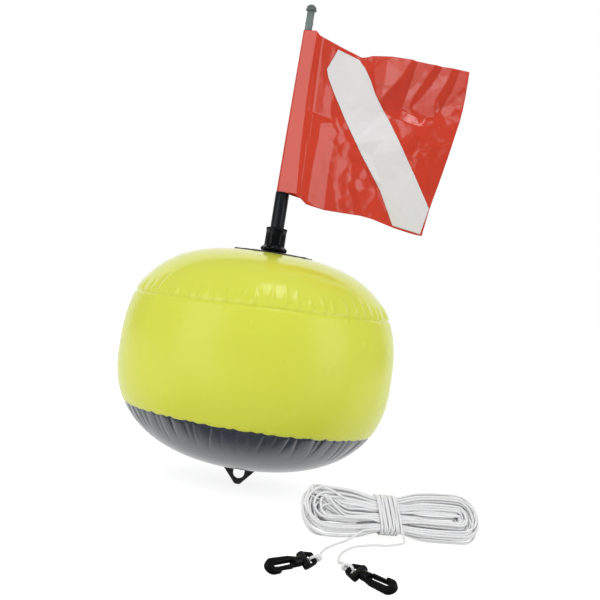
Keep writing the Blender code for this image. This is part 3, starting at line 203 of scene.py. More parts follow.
class FinishTree:
    """A material's or the world's nodes, added one at a time."""

    def __init__(self, name: str, world: bool = False) -> None:
        """Start a material or a world with no nodes.

        Args:
            name: Its name.
            world: Whether it is a world.
        """
        self.material = bpy.data.worlds.new(name) if world else bpy.data.materials.new(name)
        self.material.use_nodes = True
        self.nodes = self.material.node_tree.nodes
        self.links = self.material.node_tree.links
        self.nodes.clear()
        self._coordinates: Optional[bpy.types.NodeSocket] = None

    def node(self, kind: str, settings: Optional[dict[str, Any]] = None,
             inputs: Optional[dict[Union[str, int], Any]] = None) -> bpy.types.Node:
        """Add a node: its settings first, then the values or links of its sockets.

        Args:
            kind: The node's type.
            settings: Attributes to set.
            inputs: Socket name or number to a value, a socket or a Signal.

        Returns:
            The new node.
        """
        made = self.nodes.new(kind)
        for name, value in (settings or {}).items():
            setattr(made, name, value)
        for name, value in (inputs or {}).items():
            if isinstance(value, Signal):
                value = value.socket
            if isinstance(value, bpy.types.NodeSocket):
                self.links.new(value, made.inputs[name])
            elif isinstance(value, tuple) and len(value) == 3 and made.inputs[name].type == "RGBA":
                made.inputs[name].default_value = (*value, 1.0)
            else:
                made.inputs[name].default_value = value
        return made

    def number(self, kind: str, settings: Optional[dict[str, Any]] = None,
               inputs: Optional[dict[Union[str, int], Any]] = None, output: Union[str, int] = 0) -> Signal:
        """Add a node and take one output as a signal."""
        return Signal(self, self.node(kind, settings, inputs).outputs[output])

    @property
    def place(self) -> bpy.types.NodeSocket:
        """Coordinates on the object, in metres."""
        if self._coordinates is None:
            self._coordinates = self.node("ShaderNodeTexCoord").outputs["Object"]
        return self._coordinates

    def stretched(self, scale: tuple[float, float, float]) -> bpy.types.NodeSocket:
        """The place with each axis scaled, for grain that runs one way."""
        return self.scaled(self.place, scale)

    def scaled(self, place: bpy.types.NodeSocket, scale: tuple[float, float, float]) -> bpy.types.NodeSocket:
        """Coordinates with each axis scaled."""
        return self.node("ShaderNodeVectorMath", {"operation": "MULTIPLY"}, {0: place, 1: scale}).outputs[0]

    def noise(self, scale: float, detail: float = 2.0, roughness: float = 0.5, distortion: float = 0.0,
              place: Optional[bpy.types.NodeSocket] = None) -> Signal:
        """Soft noise over the surface.

        Args:
            scale: Repeats per metre.
            detail: Octaves.
            roughness: Strength of the finer octaves.
            distortion: How far it swirls.
            place: Coordinates, or the object's own.

        Returns:
            The noise, about 0.5 on average.
        """
        inputs = {"Vector": place or self.place, "Scale": scale, "Detail": detail, "Roughness": roughness,
                  "Distortion": distortion}
        return self.number("ShaderNodeTexNoise", {}, inputs)

    def mix(self, share: Operand, first: Any, second: Any) -> bpy.types.NodeSocket:
        """Mix two colours.

        Args:
            share: Share of the second.
            first: Colour or socket.
            second: Colour or socket.

        Returns:
            The mixed colour's socket.
        """
        return self.node("ShaderNodeMix", {"data_type": "RGBA"}, {0: share, 6: first, 7: second}).outputs[2]

    def bump(self, height: Signal, depth: float, strength: float = 1.0,
             under: Optional[bpy.types.NodeSocket] = None) -> bpy.types.NodeSocket:
        """Turn a height into a normal.

        Args:
            height: The height, 0 to 1.
            depth: Metres that a height of 1 stands for.
            strength: Share of the effect.
            under: Normal that it adds to.

        Returns:
            The normal's socket.
        """
        inputs: dict[Union[str, int], Any] = {"Strength": strength, "Distance": depth, "Height": height}
        if under is not None:
            inputs["Normal"] = under
        return self.node("ShaderNodeBump", {}, inputs).outputs[0]

    def close(self, inputs: dict[Union[str, int], Any]) -> bpy.types.Material:
        """Finish with a Principled shader.

        Args:
            inputs: The shader's sockets.

        Returns:
            The material.
        """
        shader = self.node("ShaderNodeBsdfPrincipled", {}, inputs)
        self.node("ShaderNodeOutputMaterial", {}, {"Surface": shader.outputs[0]})
        return self.material


# Finishes


@dataclass(frozen=True)
class Finish:
    """A surface finish; each is made into a material once."""

    name: str
    slot: Slot
    _made: ClassVar[dict[str, bpy.types.Material]] = {}

    def material(self) -> bpy.types.Material:
        """The finish's material."""
        if self.name not in Finish._made:
            Finish._made[self.name] = self.lay(FinishTree(self.name))
        return Finish._made[self.name]

    def lay(self, tree: FinishTree) -> bpy.types.Material:
        """Build the nodes."""
        raise NotImplementedError


@dataclass(frozen=True)
class WeldedPvc(Finish):
    """Glossy flexible PVC sheet: faint grain, soft mottling, scuffs and creases drawn in at its welds."""

    colour: Colour = (0.5, 0.5, 0.5)
    shade: Colour = (0.4, 0.4, 0.4)
    roughness: float = 0.24
    grain: float = 0.00002
    ripple: float = 0.0002
    ripple_scale: float = 26.0
    coat: float = 0.0
    coat_roughness: float = 0.12
    sheen_ior: float = 1.5
    streaks: float = 0.0
    streak_scale: float = 120.0
    streak_reach: float = 0.045

    def _streaks(self, tree: FinishTree) -> Signal:
        """Fine creases that run away from the weld, from the distance kept on the mesh."""
        weld = tree.node("ShaderNodeAttribute", {"attribute_name": "weld"}).outputs["Vector"]
        drawn = tree.scaled(weld, (1.0, 1.0, 0.15))
        distance = Signal(tree, tree.node("ShaderNodeSeparateXYZ", {}, {0: weld}).outputs[2])
        return tree.noise(self.streak_scale, 2.0, 0.5, 0.0, drawn) * distance.between(
            0.25 * self.streak_reach, self.streak_reach, 1.0, 0.0)

    def lay(self, tree: FinishTree) -> bpy.types.Material:
        """Build the sheet's nodes."""
        cloud = tree.noise(9.0, 3.0, 0.55)
        fine = tree.noise(160.0, 3.0, 0.6)
        scuff = tree.noise(42.0, 4.0, 0.65, 0.4).between(0.56, 0.74)
        colour = tree.mix(cloud.between(0.35, 0.68, 0.0, 0.55), self.colour, self.shade)
        rough = self.roughness + 0.03 * fine + 0.04 * scuff
        under = tree.bump(tree.noise(self.ripple_scale, 2.0, 0.45), self.ripple)
        if self.streaks:
            under = tree.bump(self._streaks(tree), self.streaks, under=under)
        normal = tree.bump(tree.noise(2100.0, 2.0, 0.5), self.grain, under=under)
        return tree.close({"Base Color": colour, "Roughness": rough, "Normal": normal, "IOR": self.sheen_ior,
                           "Coat Weight": self.coat, "Coat Roughness": self.coat_roughness})


@dataclass(frozen=True)
class FlagPvc(WeldedPvc):
    """The flag's thin glossy film, with fine creases pressed in by folding."""

    crease: float = 0.00008

    def lay(self, tree: FinishTree) -> bpy.types.Material:
        """Build the film's nodes."""
        cloud = tree.noise(16.0, 2.0, 0.5)
        colour = tree.mix(cloud.between(0.38, 0.66, 0.0, 0.6), self.colour, self.shade)
        fold = tree.noise(15.0, 1.0, 0.4, 0.6, tree.stretched((1.0, 1.0, 0.45)))
        ridge = 1.0 - abs(fold - 0.5).between(0.0, 0.03)
        fine = tree.noise(240.0, 2.0, 0.5)
        rough = self.roughness + 0.06 * fine
        soft = tree.bump(tree.noise(self.ripple_scale, 2.0, 0.5), self.ripple)
        normal = tree.bump(ridge, self.crease, 0.7, under=soft)
        return tree.close({"Base Color": colour, "Roughness": rough, "Normal": normal, "IOR": self.sheen_ior,
                           "Coat Weight": self.coat, "Coat Roughness": self.coat_roughness})


@dataclass(frozen=True)
class Moulding(Finish):
    """Injection-moulded plastic: flow mottling and a fine spark-eroded grain."""

    colour: Colour = (0.01, 0.01, 0.01)
    roughness: float = 0.3
    grain: float = 0.00002
    ior: float = 1.45

    def lay(self, tree: FinishTree) -> bpy.types.Material:
        """Build the moulding's nodes."""
        flow = tree.noise(70.0, 3.0, 0.5, 0.3)
        lighter = tuple(min(1.0, 1.5 * part + 0.001) for part in self.colour)
        colour = tree.mix(flow.between(0.45, 0.7, 0.0, 0.5), self.colour, lighter)
        rough = self.roughness + 0.12 * tree.noise(420.0, 3.0, 0.6).between(0.35, 0.7)
        normal = tree.bump(tree.noise(3600.0, 2.0, 0.5), self.grain)
        return tree.close({"Base Color": colour, "Roughness": rough, "Normal": normal, "IOR": self.ior})


@dataclass(frozen=True)
class DrawnTube(Finish):
    """Drawn tube or rod: fine lines along it and dull patches from handling."""

    colour: Colour = (0.01, 0.012, 0.016)
    roughness: float = 0.42
    ior: float = 1.45

    def lay(self, tree: FinishTree) -> bpy.types.Material:
        """Build the tube's nodes."""
        lines = tree.noise(900.0, 3.0, 0.6, 0.0, tree.stretched((1.0, 1.0, 0.02)))
        patches = tree.noise(55.0, 3.0, 0.6)
        lighter = tuple(min(1.0, 1.35 * part + 0.002) for part in self.colour)
        colour = tree.mix(patches.between(0.4, 0.7, 0.0, 0.6), self.colour, lighter)
        rough = self.roughness + 0.10 * lines.between(0.3, 0.7)
        normal = tree.bump(lines, 0.00003)
        return tree.close({"Base Color": colour, "Roughness": rough, "Normal": normal, "IOR": self.ior})


@dataclass(frozen=True)
class BraidedLine(Finish):
    """White braided line: crossing strands along the cord and a little fuzz."""

    colour: Colour = (0.93, 0.93, 0.935)
    # The darker colour: painted shade in the grooves between the strands, and the grey of the fuzz's random
    # speckle.
    shade: Colour = (0.78, 0.785, 0.80)
    strands: int = 4
    pitch: float = 0.0042
    relief: float = 0.00022

    def lay(self, tree: FinishTree) -> bpy.types.Material:
        """Build the braid's nodes from the line's own coordinates."""
        lay = tree.node("ShaderNodeAttribute", {"attribute_name": "braid"}).outputs["Vector"]
        parts = tree.node("ShaderNodeSeparateXYZ", {}, {0: lay})
        along, across, up = (Signal(tree, parts.outputs[axis]) for axis in range(3))
        around = up.angle_from(across) * float(self.strands)
        run = along * (2 * math.pi / self.pitch * 2)
        braid = (around + run).sine().larger((around - run).sine())
        height = braid.between(-0.2, 1.0)
        fuzz = tree.noise(1300.0, 3.0, 0.75)
        # Painted shade: the grooves between the strands take the darker shade colour and the crests the
        # lighter one, mixed with the fuzz's random speckle.
        colour = tree.mix(height * 0.5 + fuzz.between(0.4, 0.6) * 0.5, self.shade, self.colour)
        normal = tree.bump(height * 0.8 + fuzz * 0.35, self.relief)
        return tree.close({"Base Color": colour, "Roughness": 0.78, "Normal": normal, "Sheen Weight": 0.3,
                           "Sheen Roughness": 0.4})


CROWN_SHEET = WeldedPvc("crown_sheet", Slot.YELLOW_PVC, colour=(0.670, 0.710, 0.080),
                        shade=(0.650, 0.685, 0.065), roughness=0.14, sheen_ior=1.44, streaks=0.0005)
BAND_SHEET = WeldedPvc("band_sheet", Slot.YELLOW_PVC, colour=(0.675, 0.715, 0.072),
                       shade=(0.655, 0.690, 0.055), sheen_ior=1.40, streaks=0.0003, streak_reach=0.02)
SLATE_SHEET = WeldedPvc("slate_sheet", Slot.SLATE_PVC, colour=(0.018, 0.027, 0.043),
                        shade=(0.024, 0.033, 0.050), roughness=0.16, sheen_ior=2.0, ripple=0.0003,
                        streaks=0.0009)
RED_FILM = FlagPvc("red_film", Slot.RED_PVC, colour=(0.60, 0.036, 0.009), shade=(0.55, 0.030, 0.007),
                   roughness=0.16, ripple_scale=38.0, ripple=0.0006, sheen_ior=1.66)
WHITE_FILM = FlagPvc("white_film", Slot.WHITE_PVC, colour=(0.72, 0.715, 0.72), shade=(0.68, 0.675, 0.68),
                     roughness=0.42, ripple_scale=18.0, ripple=0.0003, coat=0.0, coat_roughness=0.2)
PATCH_SHEET = WeldedPvc("patch_sheet", Slot.BLACK_SHEET, colour=(0.008, 0.008, 0.010),
                        shade=(0.014, 0.014, 0.016), roughness=0.35, coat=0.1)
SOCKET_MOULDING = Moulding("socket_moulding", Slot.BLACK_MOULDING, colour=(0.0020, 0.0022, 0.0028),
                           roughness=0.10, ior=1.28)
HOOK_MOULDING = Moulding("hook_moulding", Slot.BLACK_MOULDING, colour=(0.0022, 0.0022, 0.0026),
                         roughness=0.26, ior=1.28)
TAB_MOULDING = Moulding("tab_moulding", Slot.BLACK_MOULDING, colour=(0.006, 0.0065, 0.008), roughness=0.28,
                        ior=1.4)
TUBE_DRAWN = DrawnTube("tube_drawn", Slot.BLACK_TUBE, colour=(0.0035, 0.005, 0.0075), roughness=0.30,
                       ior=1.36)
ROD_DRAWN = DrawnTube("rod_drawn", Slot.GREY_ROD, colour=(0.15, 0.19, 0.18), roughness=0.42)
CAP_MOULDING = Moulding("cap_moulding", Slot.GREY_ROD, colour=(0.10, 0.125, 0.12), roughness=0.4)
VALVE_MOULDING = Moulding("valve_moulding", Slot.YELLOW_MOULDING, colour=(0.58, 0.65, 0.09), roughness=0.34)
FLAP_MOULDING = Moulding("flap_moulding", Slot.CLEAR_MOULDING, colour=(0.66, 0.69, 0.58), roughness=0.28)
LINE_BRAID = BraidedLine("line_braid", Slot.WHITE_LINE)


# Mesh making


def mesh_object(name: str, vertices: Any, faces: Sequence[Sequence[int]],
                frame: Matrix = Matrix()) -> bpy.types.Object:
    """Make a smooth mesh object whose vertices are moved into place.

    Args:
        name: The piece's name.
        vertices: Points, one row each.
        faces: Vertex numbers of each face.
        frame: World matrix that the points are given in.

    Returns:
        The object, at the origin.
    """
    data = bpy.data.meshes.new(name)
    data.from_pydata([tuple(map(float, point)) for point in vertices], [], [list(face) for face in faces])
    data.transform(frame)
    data.validate()
    data.shade_smooth()
    made = bpy.data.objects.new(name, data)
    bpy.context.scene.collection.objects.link(made)
    return made


def grid_faces(rows: int, columns: int, closed: bool = False) -> list[tuple[int, int, int, int]]:
    """Faces of a grid of points numbered row by row.

    Args:
        rows: Rows of points.
        columns: Points in a row.
        closed: Whether each row is a ring.

    Returns:
        The quads.
    """
    last = columns if closed else columns - 1
    return [(row * columns + column, row * columns + (column + 1) % columns,
             (row + 1) * columns + (column + 1) % columns, (row + 1) * columns + column)
            for row in range(rows - 1) for column in range(last)]


def outward(made: bpy.types.Object) -> bpy.types.Object:
    """Turn a closed mesh's faces outward."""
    work = bmesh.new()
    work.from_mesh(made.data)
    bmesh.ops.remove_doubles(work, verts=work.verts, dist=1e-6)
    bmesh.ops.recalc_face_normals(work, faces=work.faces)
    work.to_mesh(made.data)
    work.free()
    made.data.shade_smooth()
    return made


def turned(name: str, profile: Profile, sides: int, frame: Matrix = Matrix(),
           wave: Optional[Callable[[float, float, float], float]] = None) -> bpy.types.Object:
    """Turn a profile of (radius, z) points about Z.

    Args:
        name: The piece's name.
        profile: Points; radius 0 closes the form on its axis.
        sides: Points round a ring.
        frame: World matrix of the axis.
        wave: Growth of the radius by (radius, z, angle).

    Returns:
        The object.
    """
    angles = [2 * math.pi * side / sides for side in range(sides)]
    points = []
    for radius, z in profile:
        for angle in angles:
            grown = radius + (wave(radius, z, angle) if wave and radius > 0 else 0.0)
            points.append((grown * math.cos(angle), grown * math.sin(angle), z))
    closed_profile = profile[0][0] > 0 and profile[-1][0] > 0
    faces = grid_faces(len(profile), sides, closed=True)
    if closed_profile:
        last = (len(profile) - 1) * sides
        faces += [(last + side, last + (side + 1) % sides, (side + 1) % sides, side) for side in range(sides)]
    return outward(mesh_object(name, points, faces, frame))


def arc(centre_x: float, centre_y: float, radius: float, start: float, end: float, steps: int) -> Outline:
    """Points of an arc with both ends, angles in degrees."""
    turns = [math.radians(start + (end - start) * step / steps) for step in range(steps + 1)]
    return [(centre_x + radius * math.cos(turn), centre_y + radius * math.sin(turn)) for turn in turns]


def rounded(profile: Profile, corners: dict[int, float], steps: int = 4) -> Profile:
    """Round chosen corners of a profile or outline.

    Args:
        profile: The sharp points.
        corners: Point number to radius.
        steps: Segments in each arc.

    Returns:
        The points with arcs in place of those corners.
    """
    points: Profile = []
    for index, point in enumerate(profile):
        if index not in corners:
            points.append(point)
            continue
        here = Vector(point)
        before = Vector(profile[index - 1]) - here
        after = Vector(profile[(index + 1) % len(profile)]) - here
        half = before.angle(after) / 2
        cut = min(corners[index] / math.tan(half), 0.49 * before.length, 0.49 * after.length)
        start, end = here + before.normalized() * cut, here + after.normalized() * cut
        for step in range(steps + 1):
            share = step / steps
            bent = (1 - share) ** 2 * start + 2 * share * (1 - share) * here + share ** 2 * end
            points.append((bent.x, bent.y))
    return points


def plate(name: str, outline: Outline, thickness: float, frame: Matrix = Matrix(), edge: float = 0.0,
          segments: int = 3) -> bpy.types.Object:
    """Make a plate from an outline in XY, centred on Z, with rounded edges.

    Args:
        name: The piece's name.
        outline: Points round it.
        thickness: Its thickness.
        frame: World matrix.
        edge: Radius of its edges.
        segments: Segments of that radius.

    Returns:
        The object.
    """
    count = len(outline)
    points = [(x, y, side * thickness / 2) for side in (-1, 1) for x, y in outline]
    faces: list[Sequence[int]] = [tuple(range(count))[::-1], tuple(range(count, 2 * count))]
    faces += grid_faces(2, count, closed=True)
    made = outward(mesh_object(name, points, faces, frame))
    if edge:
        soften(made, edge, segments)
    return made


def soften(made: bpy.types.Object, width: float, segments: int = 3, angle: float = 50.0) -> None:
    """Bevel a piece's sharp edges and keep its flats flat."""
    bevel = made.modifiers.new("soften", "BEVEL")
    bevel.width = width
    bevel.segments = segments
    bevel.limit_method = "ANGLE"
    bevel.angle_limit = math.radians(angle)
    bevel.harden_normals = False
    settle(made)
    made.data.set_sharp_from_angle(angle=math.radians(40))


def settle(made: bpy.types.Object) -> None:
    """Apply a piece's modifiers to its mesh."""
    shape = made.evaluated_get(bpy.context.evaluated_depsgraph_get())
    data = bpy.data.meshes.new_from_object(shape)
    data.name = made.name
    made.modifiers.clear()
    made.data = data
    made.data.shade_smooth()


def carve(made: bpy.types.Object, tool: bpy.types.Object, operation: str = "DIFFERENCE") -> None:
    """Cut a tool out of a piece, or weld it on, and drop the tool."""
    modifier = made.modifiers.new("carve", "BOOLEAN")
    modifier.operation = operation
    modifier.object = tool
    modifier.solver = "EXACT"
    bpy.context.view_layer.update()
    settle(made)
    bpy.data.objects.remove(tool, do_unlink=True)
    work = bmesh.new()
    work.from_mesh(made.data)
    bmesh.ops.triangulate(work, faces=[face for face in work.faces if len(face.verts) > 4])
    work.to_mesh(made.data)
    work.free()


def dress(made: bpy.types.Object, finish: Finish, body: Body,
          replaces: Iterable[str] = ()) -> bpy.types.Object:
    """Give a piece its finish, the body that it rides on and the nodes that it stands for.

    Args:
        made: The piece.
        finish: Its surface finish.
        body: Its rigid body.
        replaces: Nodes of the frame that it replaces.

    Returns:
        The piece.
    """
    made.data.materials.clear()
    made.data.materials.append(finish.material())
    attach(made, body.value)
    if replaces:
        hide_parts(*replaces)
    LOG.info("%s: %s on %s", made.name, finish.name, body.value)
    return made


def finish_node(frame: dict[str, Any], node: str, finish: Finish) -> None:
    """Give a node of the frame its finish and keep its shape."""
    data = frame["nodes"][node].data
    data.materials.clear()
    data.materials.append(finish.material())
    LOG.info("%s keeps its shape: %s", node, finish.name)


def spline(points: np.ndarray, spacing: float, fine: int = 16) -> np.ndarray:
    """Evenly spaced points on a smooth curve through the given ones.

    Args:
        points: The route, one row each.
        spacing: Distance between the results.
        fine: Steps between two given points.

    Returns:
        The points, ends included.
    """
    padded = np.vstack([2 * points[0] - points[1], points, 2 * points[-1] - points[-2]])
    before, start, end, after = padded[:-3], padded[1:-2], padded[2:-1], padded[3:]
    t = (np.arange(fine) / fine)[None, :, None]
    before, start, end, after = (part[:, None, :] for part in (before, start, end, after))
    dense = (2 * start + (end - before) * t + (2 * before - 5 * start + 4 * end - after) * t ** 2
             + (3 * start - before - 3 * end + after) * t ** 3) / 2
    dense = np.vstack([dense.reshape(-1, 3), points[-1]])
    travelled = np.concatenate([[0.0], np.cumsum(np.linalg.norm(np.diff(dense, axis=0), axis=1))])
    places = np.linspace(0.0, travelled[-1], max(2, round(travelled[-1] / spacing)) + 1)
    return np.stack([np.interp(places, travelled, dense[:, axis]) for axis in range(3)], axis=1)


def eased(share: np.ndarray) -> np.ndarray:
    """Smooth step from 0 to 1 over a share, held outside it."""
    held = np.clip(share, 0, 1)
    return held * held * (3 - 2 * held)


def length_of(points: np.ndarray) -> float:
    """Length of a line of points."""
    return float(np.linalg.norm(np.diff(points, axis=0), axis=1).sum())


# The ball


@dataclass(frozen=True)
class Puckers:
    """Folds across a weld, where a flat sheet is drawn in to meet a curved one."""

    count: int
    height: float
    width: float
    steep: float
    reach: float
    pinched: bool
    seed: int

    def lift(self, angle: np.ndarray, distance: np.ndarray) -> np.ndarray:
        """Height of the folds on the surface.

        Args:
            angle: Angle round the ball.
            distance: Distance from the weld along the surface.

        Returns:
            Height, below 0 in valleys.
        """
        random = np.random.default_rng(self.seed)
        rise = eased(distance / self.steep)
        total = np.zeros_like(distance)
        for index in range(self.count):
            centre = 2 * math.pi * (index + random.uniform(-0.3, 0.3)) / self.count
            height = self.height * random.uniform(0.45, 1.2)
            reach = self.reach * random.uniform(0.7, 1.25)
            lean = random.uniform(-1.2, 1.2)
            off = (angle - centre - lean * distance + math.pi) % (2 * math.pi) - math.pi
            taper = eased((reach - distance) / (reach - self.steep))
            width = self.width * (0.5 + 0.5 * taper)
            across = np.exp(-np.abs(off) / width) if self.pinched else np.exp(-(off / width) ** 2)
            total += height * across * rise * taper
        return total


@dataclass
class InflatableBall:
    """The welded ball: top panel, side band and dark bottom panel with their puckered seams."""

    radius: float = 0.172
    upper_height: float = 0.144
    lower_height: float = 0.128
    upper_fullness: float = 2.72
    lower_fullness: float = 2.38
    equator_z: float = 0.1510
    top_seam_z: float = 0.2272
    top_seam_tilt: float = 0.030
    bottom_seam_z: float = 0.0855
    weld_dip: float = 0.0009
    weld_width: float = 0.0018
    weld_zone: float = 0.048
    lip: float = 0.004
    scallop: float = 0.0017
    scallops: int = 62
    sides: int = 1160
    crown_puckers: Puckers = Puckers(62, 0.0014, 0.019, 0.005, 0.036, False, 3)
    band_top_puckers: Puckers = Puckers(62, 0.0005, 0.020, 0.003, 0.011, False, 3)
    band_foot_puckers: Puckers = Puckers(62, -0.0004, 0.018, 0.002, 0.009, False, 8)
    keel_puckers: Puckers = Puckers(62, -0.0019, 0.018, 0.0015, 0.048, True, 8)

    def radius_at(self, z: float) -> float:
        """Radius of the plain ball at a height."""
        if z >= self.equator_z:
            height, fullness = self.upper_height, self.upper_fullness
        else:
            height, fullness = self.lower_height, self.lower_fullness
        level = min(1.0, abs(z - self.equator_z) / height)
        return self.radius * (1 - level ** fullness) ** (1 / fullness)

    def height_at(self, radius: float, pole: Pole) -> float:
        """Height of the plain ball at a distance from its axis."""
        fullness = self.upper_fullness if pole is Pole.CROWN else self.lower_fullness
        height = self.upper_height if pole is Pole.CROWN else self.lower_height
        share = (1 - (radius / self.radius) ** fullness) ** (1 / fullness)
        return self.equator_z + pole.value * height * share

    def _meridian(self) -> tuple[np.ndarray, np.ndarray]:
        """The plain ball's side from the keel to the crown: places along it and (radius, z) there."""
        turns = np.linspace(0.0, math.pi / 2, 1500)
        halves = []
        for height, fullness, sign in ((self.lower_height, self.lower_fullness, -1),
                                       (self.upper_height, self.upper_fullness, 1)):
            radii = self.radius * np.cos(turns) ** (2 / fullness)
            levels = self.equator_z + sign * height * np.sin(turns) ** (2 / fullness)
            halves.append(np.stack([radii, levels], axis=1))
        halves[0][-1, 0] = halves[1][-1, 0] = 0.0
        side = np.vstack([halves[0][::-1], halves[1][1:]])
        travelled = np.concatenate([[0.0], np.cumsum(np.hypot(*np.diff(side, axis=0).T))])
        return travelled, side

    def _outward(self, radius: np.ndarray, z: np.ndarray) -> tuple[np.ndarray, np.ndarray]:
        """The plain ball's outward direction at points (radius, z), as its parts along both."""
        upper = z >= self.equator_z
        height = np.where(upper, self.upper_height, self.lower_height)
        fullness = np.where(upper, self.upper_fullness, self.lower_fullness)
        out = (radius / self.radius) ** (fullness - 1) / self.radius
        up = np.sign(z - self.equator_z) * (np.abs(z - self.equator_z) / height) ** (fullness - 1) / height
        size = np.hypot(out, up)
        return out / size, up / size

    def _seams(self, angle: np.ndarray) -> tuple[np.ndarray, np.ndarray]:
        """Places of the bottom and top seams along the meridian, round the ball."""
        travelled, side = self._meridian()
        random = np.random.default_rng(self.keel_puckers.seed)
        wave = np.zeros_like(angle)
        for index in range(self.scallops):
            centre = 2 * math.pi * (index + random.uniform(-0.3, 0.3)) / self.scallops
            size = random.uniform(0.5, 1.3)
            off = (angle - centre + math.pi) % (2 * math.pi) - math.pi
            wave += size * np.exp(-(off / 0.024) ** 2)
        bottom = np.interp(self.bottom_seam_z, side[:, 1], travelled) + self.scallop * (wave - 0.35)
        top_z = self.top_seam_z + self.top_seam_tilt * self.radius_at(self.top_seam_z) * np.cos(angle)
        return bottom, np.interp(top_z, side[:, 1], travelled)

    def _rows(self, low: np.ndarray, high: np.ndarray, welds: tuple[bool, bool]) -> np.ndarray:
        """Places of a panel's rows, close together beside its welds.

        Args:
            low: Place of the lower edge, by side.
            high: Place of the upper edge, by side.
            welds: Whether the lower and the upper edge is a weld.

        Returns:
            Places along the meridian, by row and side.
        """
        zone = self.weld_zone if sum(welds) == 1 else self.weld_zone / 2
        near = (zone * np.linspace(0, 1, 42 if sum(welds) == 1 else 24) ** 1.35)[:, None]
        parts = [low + near] if welds[0] else []
        start = parts[0][-1] if welds[0] else low
        end = high - zone if welds[1] else high
        middle = np.linspace(0, 1, 34)[:, None]
        middle = middle[1:] if welds[0] else middle
        parts.append(start + (end - start) * (middle[:-1] if welds[1] else middle))
        if welds[1]:
            parts.append(high - near[::-1])
        return np.vstack(parts)

    def _panel(self, name: str, low: np.ndarray, high: np.ndarray,
               folds: tuple[Optional[Puckers], Optional[Puckers]]) -> bpy.types.Object:
        """Make one panel between two places on the meridian.

        Args:
            name: The piece's name.
            low: Place of the lower edge, by side.
            high: Place of the upper edge, by side.
            folds: Folds at the lower and the upper weld, or None at a pole.

        Returns:
            The panel, with its distance from the weld kept as "weld".
        """
        travelled, side = self._meridian()
        angle = np.linspace(0, 2 * math.pi, self.sides, endpoint=False)[None, :]
        places = self._rows(low, high, (folds[0] is not None, folds[1] is not None))
        radius, z = (np.interp(places, travelled, side[:, axis]) for axis in range(2))
        out, up = self._outward(radius, z)
        lift, nearest = np.zeros_like(places), np.full_like(places, 1.0)
        for row_of_folds, distance in zip(folds, (places - low, high - places)):
            if row_of_folds is not None:
                lift += row_of_folds.lift(angle, distance)
                lift -= self.weld_dip * np.exp(-(distance / self.weld_width) ** 2)
                nearest = np.minimum(nearest, distance)
        radius, z = radius + out * lift, z + up * lift
        if folds[0] is None:
            radius, z, nearest = (np.vstack([part, part[-1:]]) for part in (radius, z, nearest))
            radius[-1] -= self.lip
        elif folds[1] is None:
            radius, z, nearest = (np.vstack([part[:1], part]) for part in (radius, z, nearest))
            radius[0] -= self.lip
        round_x, round_y = np.cos(angle), np.sin(angle)
        points = np.stack([radius * round_x, radius * round_y, z], axis=2).reshape(-1, 3)
        made = mesh_object(name, points, grid_faces(len(radius), self.sides, closed=True))
        full = self.radius * np.ones_like(radius)
        marks = np.stack([full * round_x, full * round_y, nearest], axis=2).reshape(-1, 3)
        attribute = made.data.attributes.new("weld", "FLOAT_VECTOR", "POINT")
        attribute.data.foreach_set("vector", marks.astype(np.float32).ravel())
        return outward(made)

    def build(self) -> None:
        """Make and dress the three panels."""
        angle = np.linspace(0, 2 * math.pi, self.sides, endpoint=False)
        bottom, top = self._seams(angle)
        pole = self._meridian()[0][-1]
        crown = self._panel("crown_panel", top, np.full_like(top, pole), (self.crown_puckers, None))
        dress(crown, CROWN_SHEET, Body.FLOAT, ["top_panel"])
        band = self._panel("waist_band", bottom, top, (self.band_foot_puckers, self.band_top_puckers))
        dress(band, BAND_SHEET, Body.FLOAT, ["side_band"])
        keel = self._panel("keel_panel", np.zeros_like(bottom), bottom, (None, self.keel_puckers))
        dress(keel, SLATE_SHEET, Body.FLOAT, ["bottom_panel"])


@dataclass
class ReinforcingPatch:
    """A round patch welded over a pole of the ball, with a slightly wavy edge."""

    name: str
    node: str
    radius: float
    pole: Pole
    ball: InflatableBall
    lift: float = 0.0012
    edge_wave: float = 0.0007

    def build(self) -> None:
        """Make and dress the patch."""
        sides = 180
        random = np.random.default_rng(11)
        phases = random.uniform(0, 2 * math.pi, 3)
        shares = [0.0, 0.2, 0.4, 0.6, 0.75, 0.88, 0.95, 0.985, 1.0]
        rows = []
        for share in shares:
            ring = []
            for side in range(sides):
                angle = 2 * math.pi * side / sides
                wave = sum(math.sin(times * angle + phase) for times, phase in zip((9, 14, 23), phases)) / 3
                radius = share * (self.radius + 0.0006 * wave)
                rise = self.lift + self.edge_wave * wave * max(0.0, share - 0.85) / 0.15
                if share == 1.0:
                    rise -= 0.0006
                z = self.ball.height_at(radius, self.pole) + self.pole.value * rise
                ring.append((radius * math.cos(angle), radius * math.sin(angle), z))
            rows.append(ring)
        under = [[(x, y, z - self.pole.value * 0.0009) for x, y, z in rows[-1]]]
        points = [point for ring in rows + under for point in ring]
        made = outward(mesh_object(self.name, points, grid_faces(len(rows) + 1, sides, closed=True)))
        dress(made, PATCH_SHEET, Body.FLOAT, [self.node])


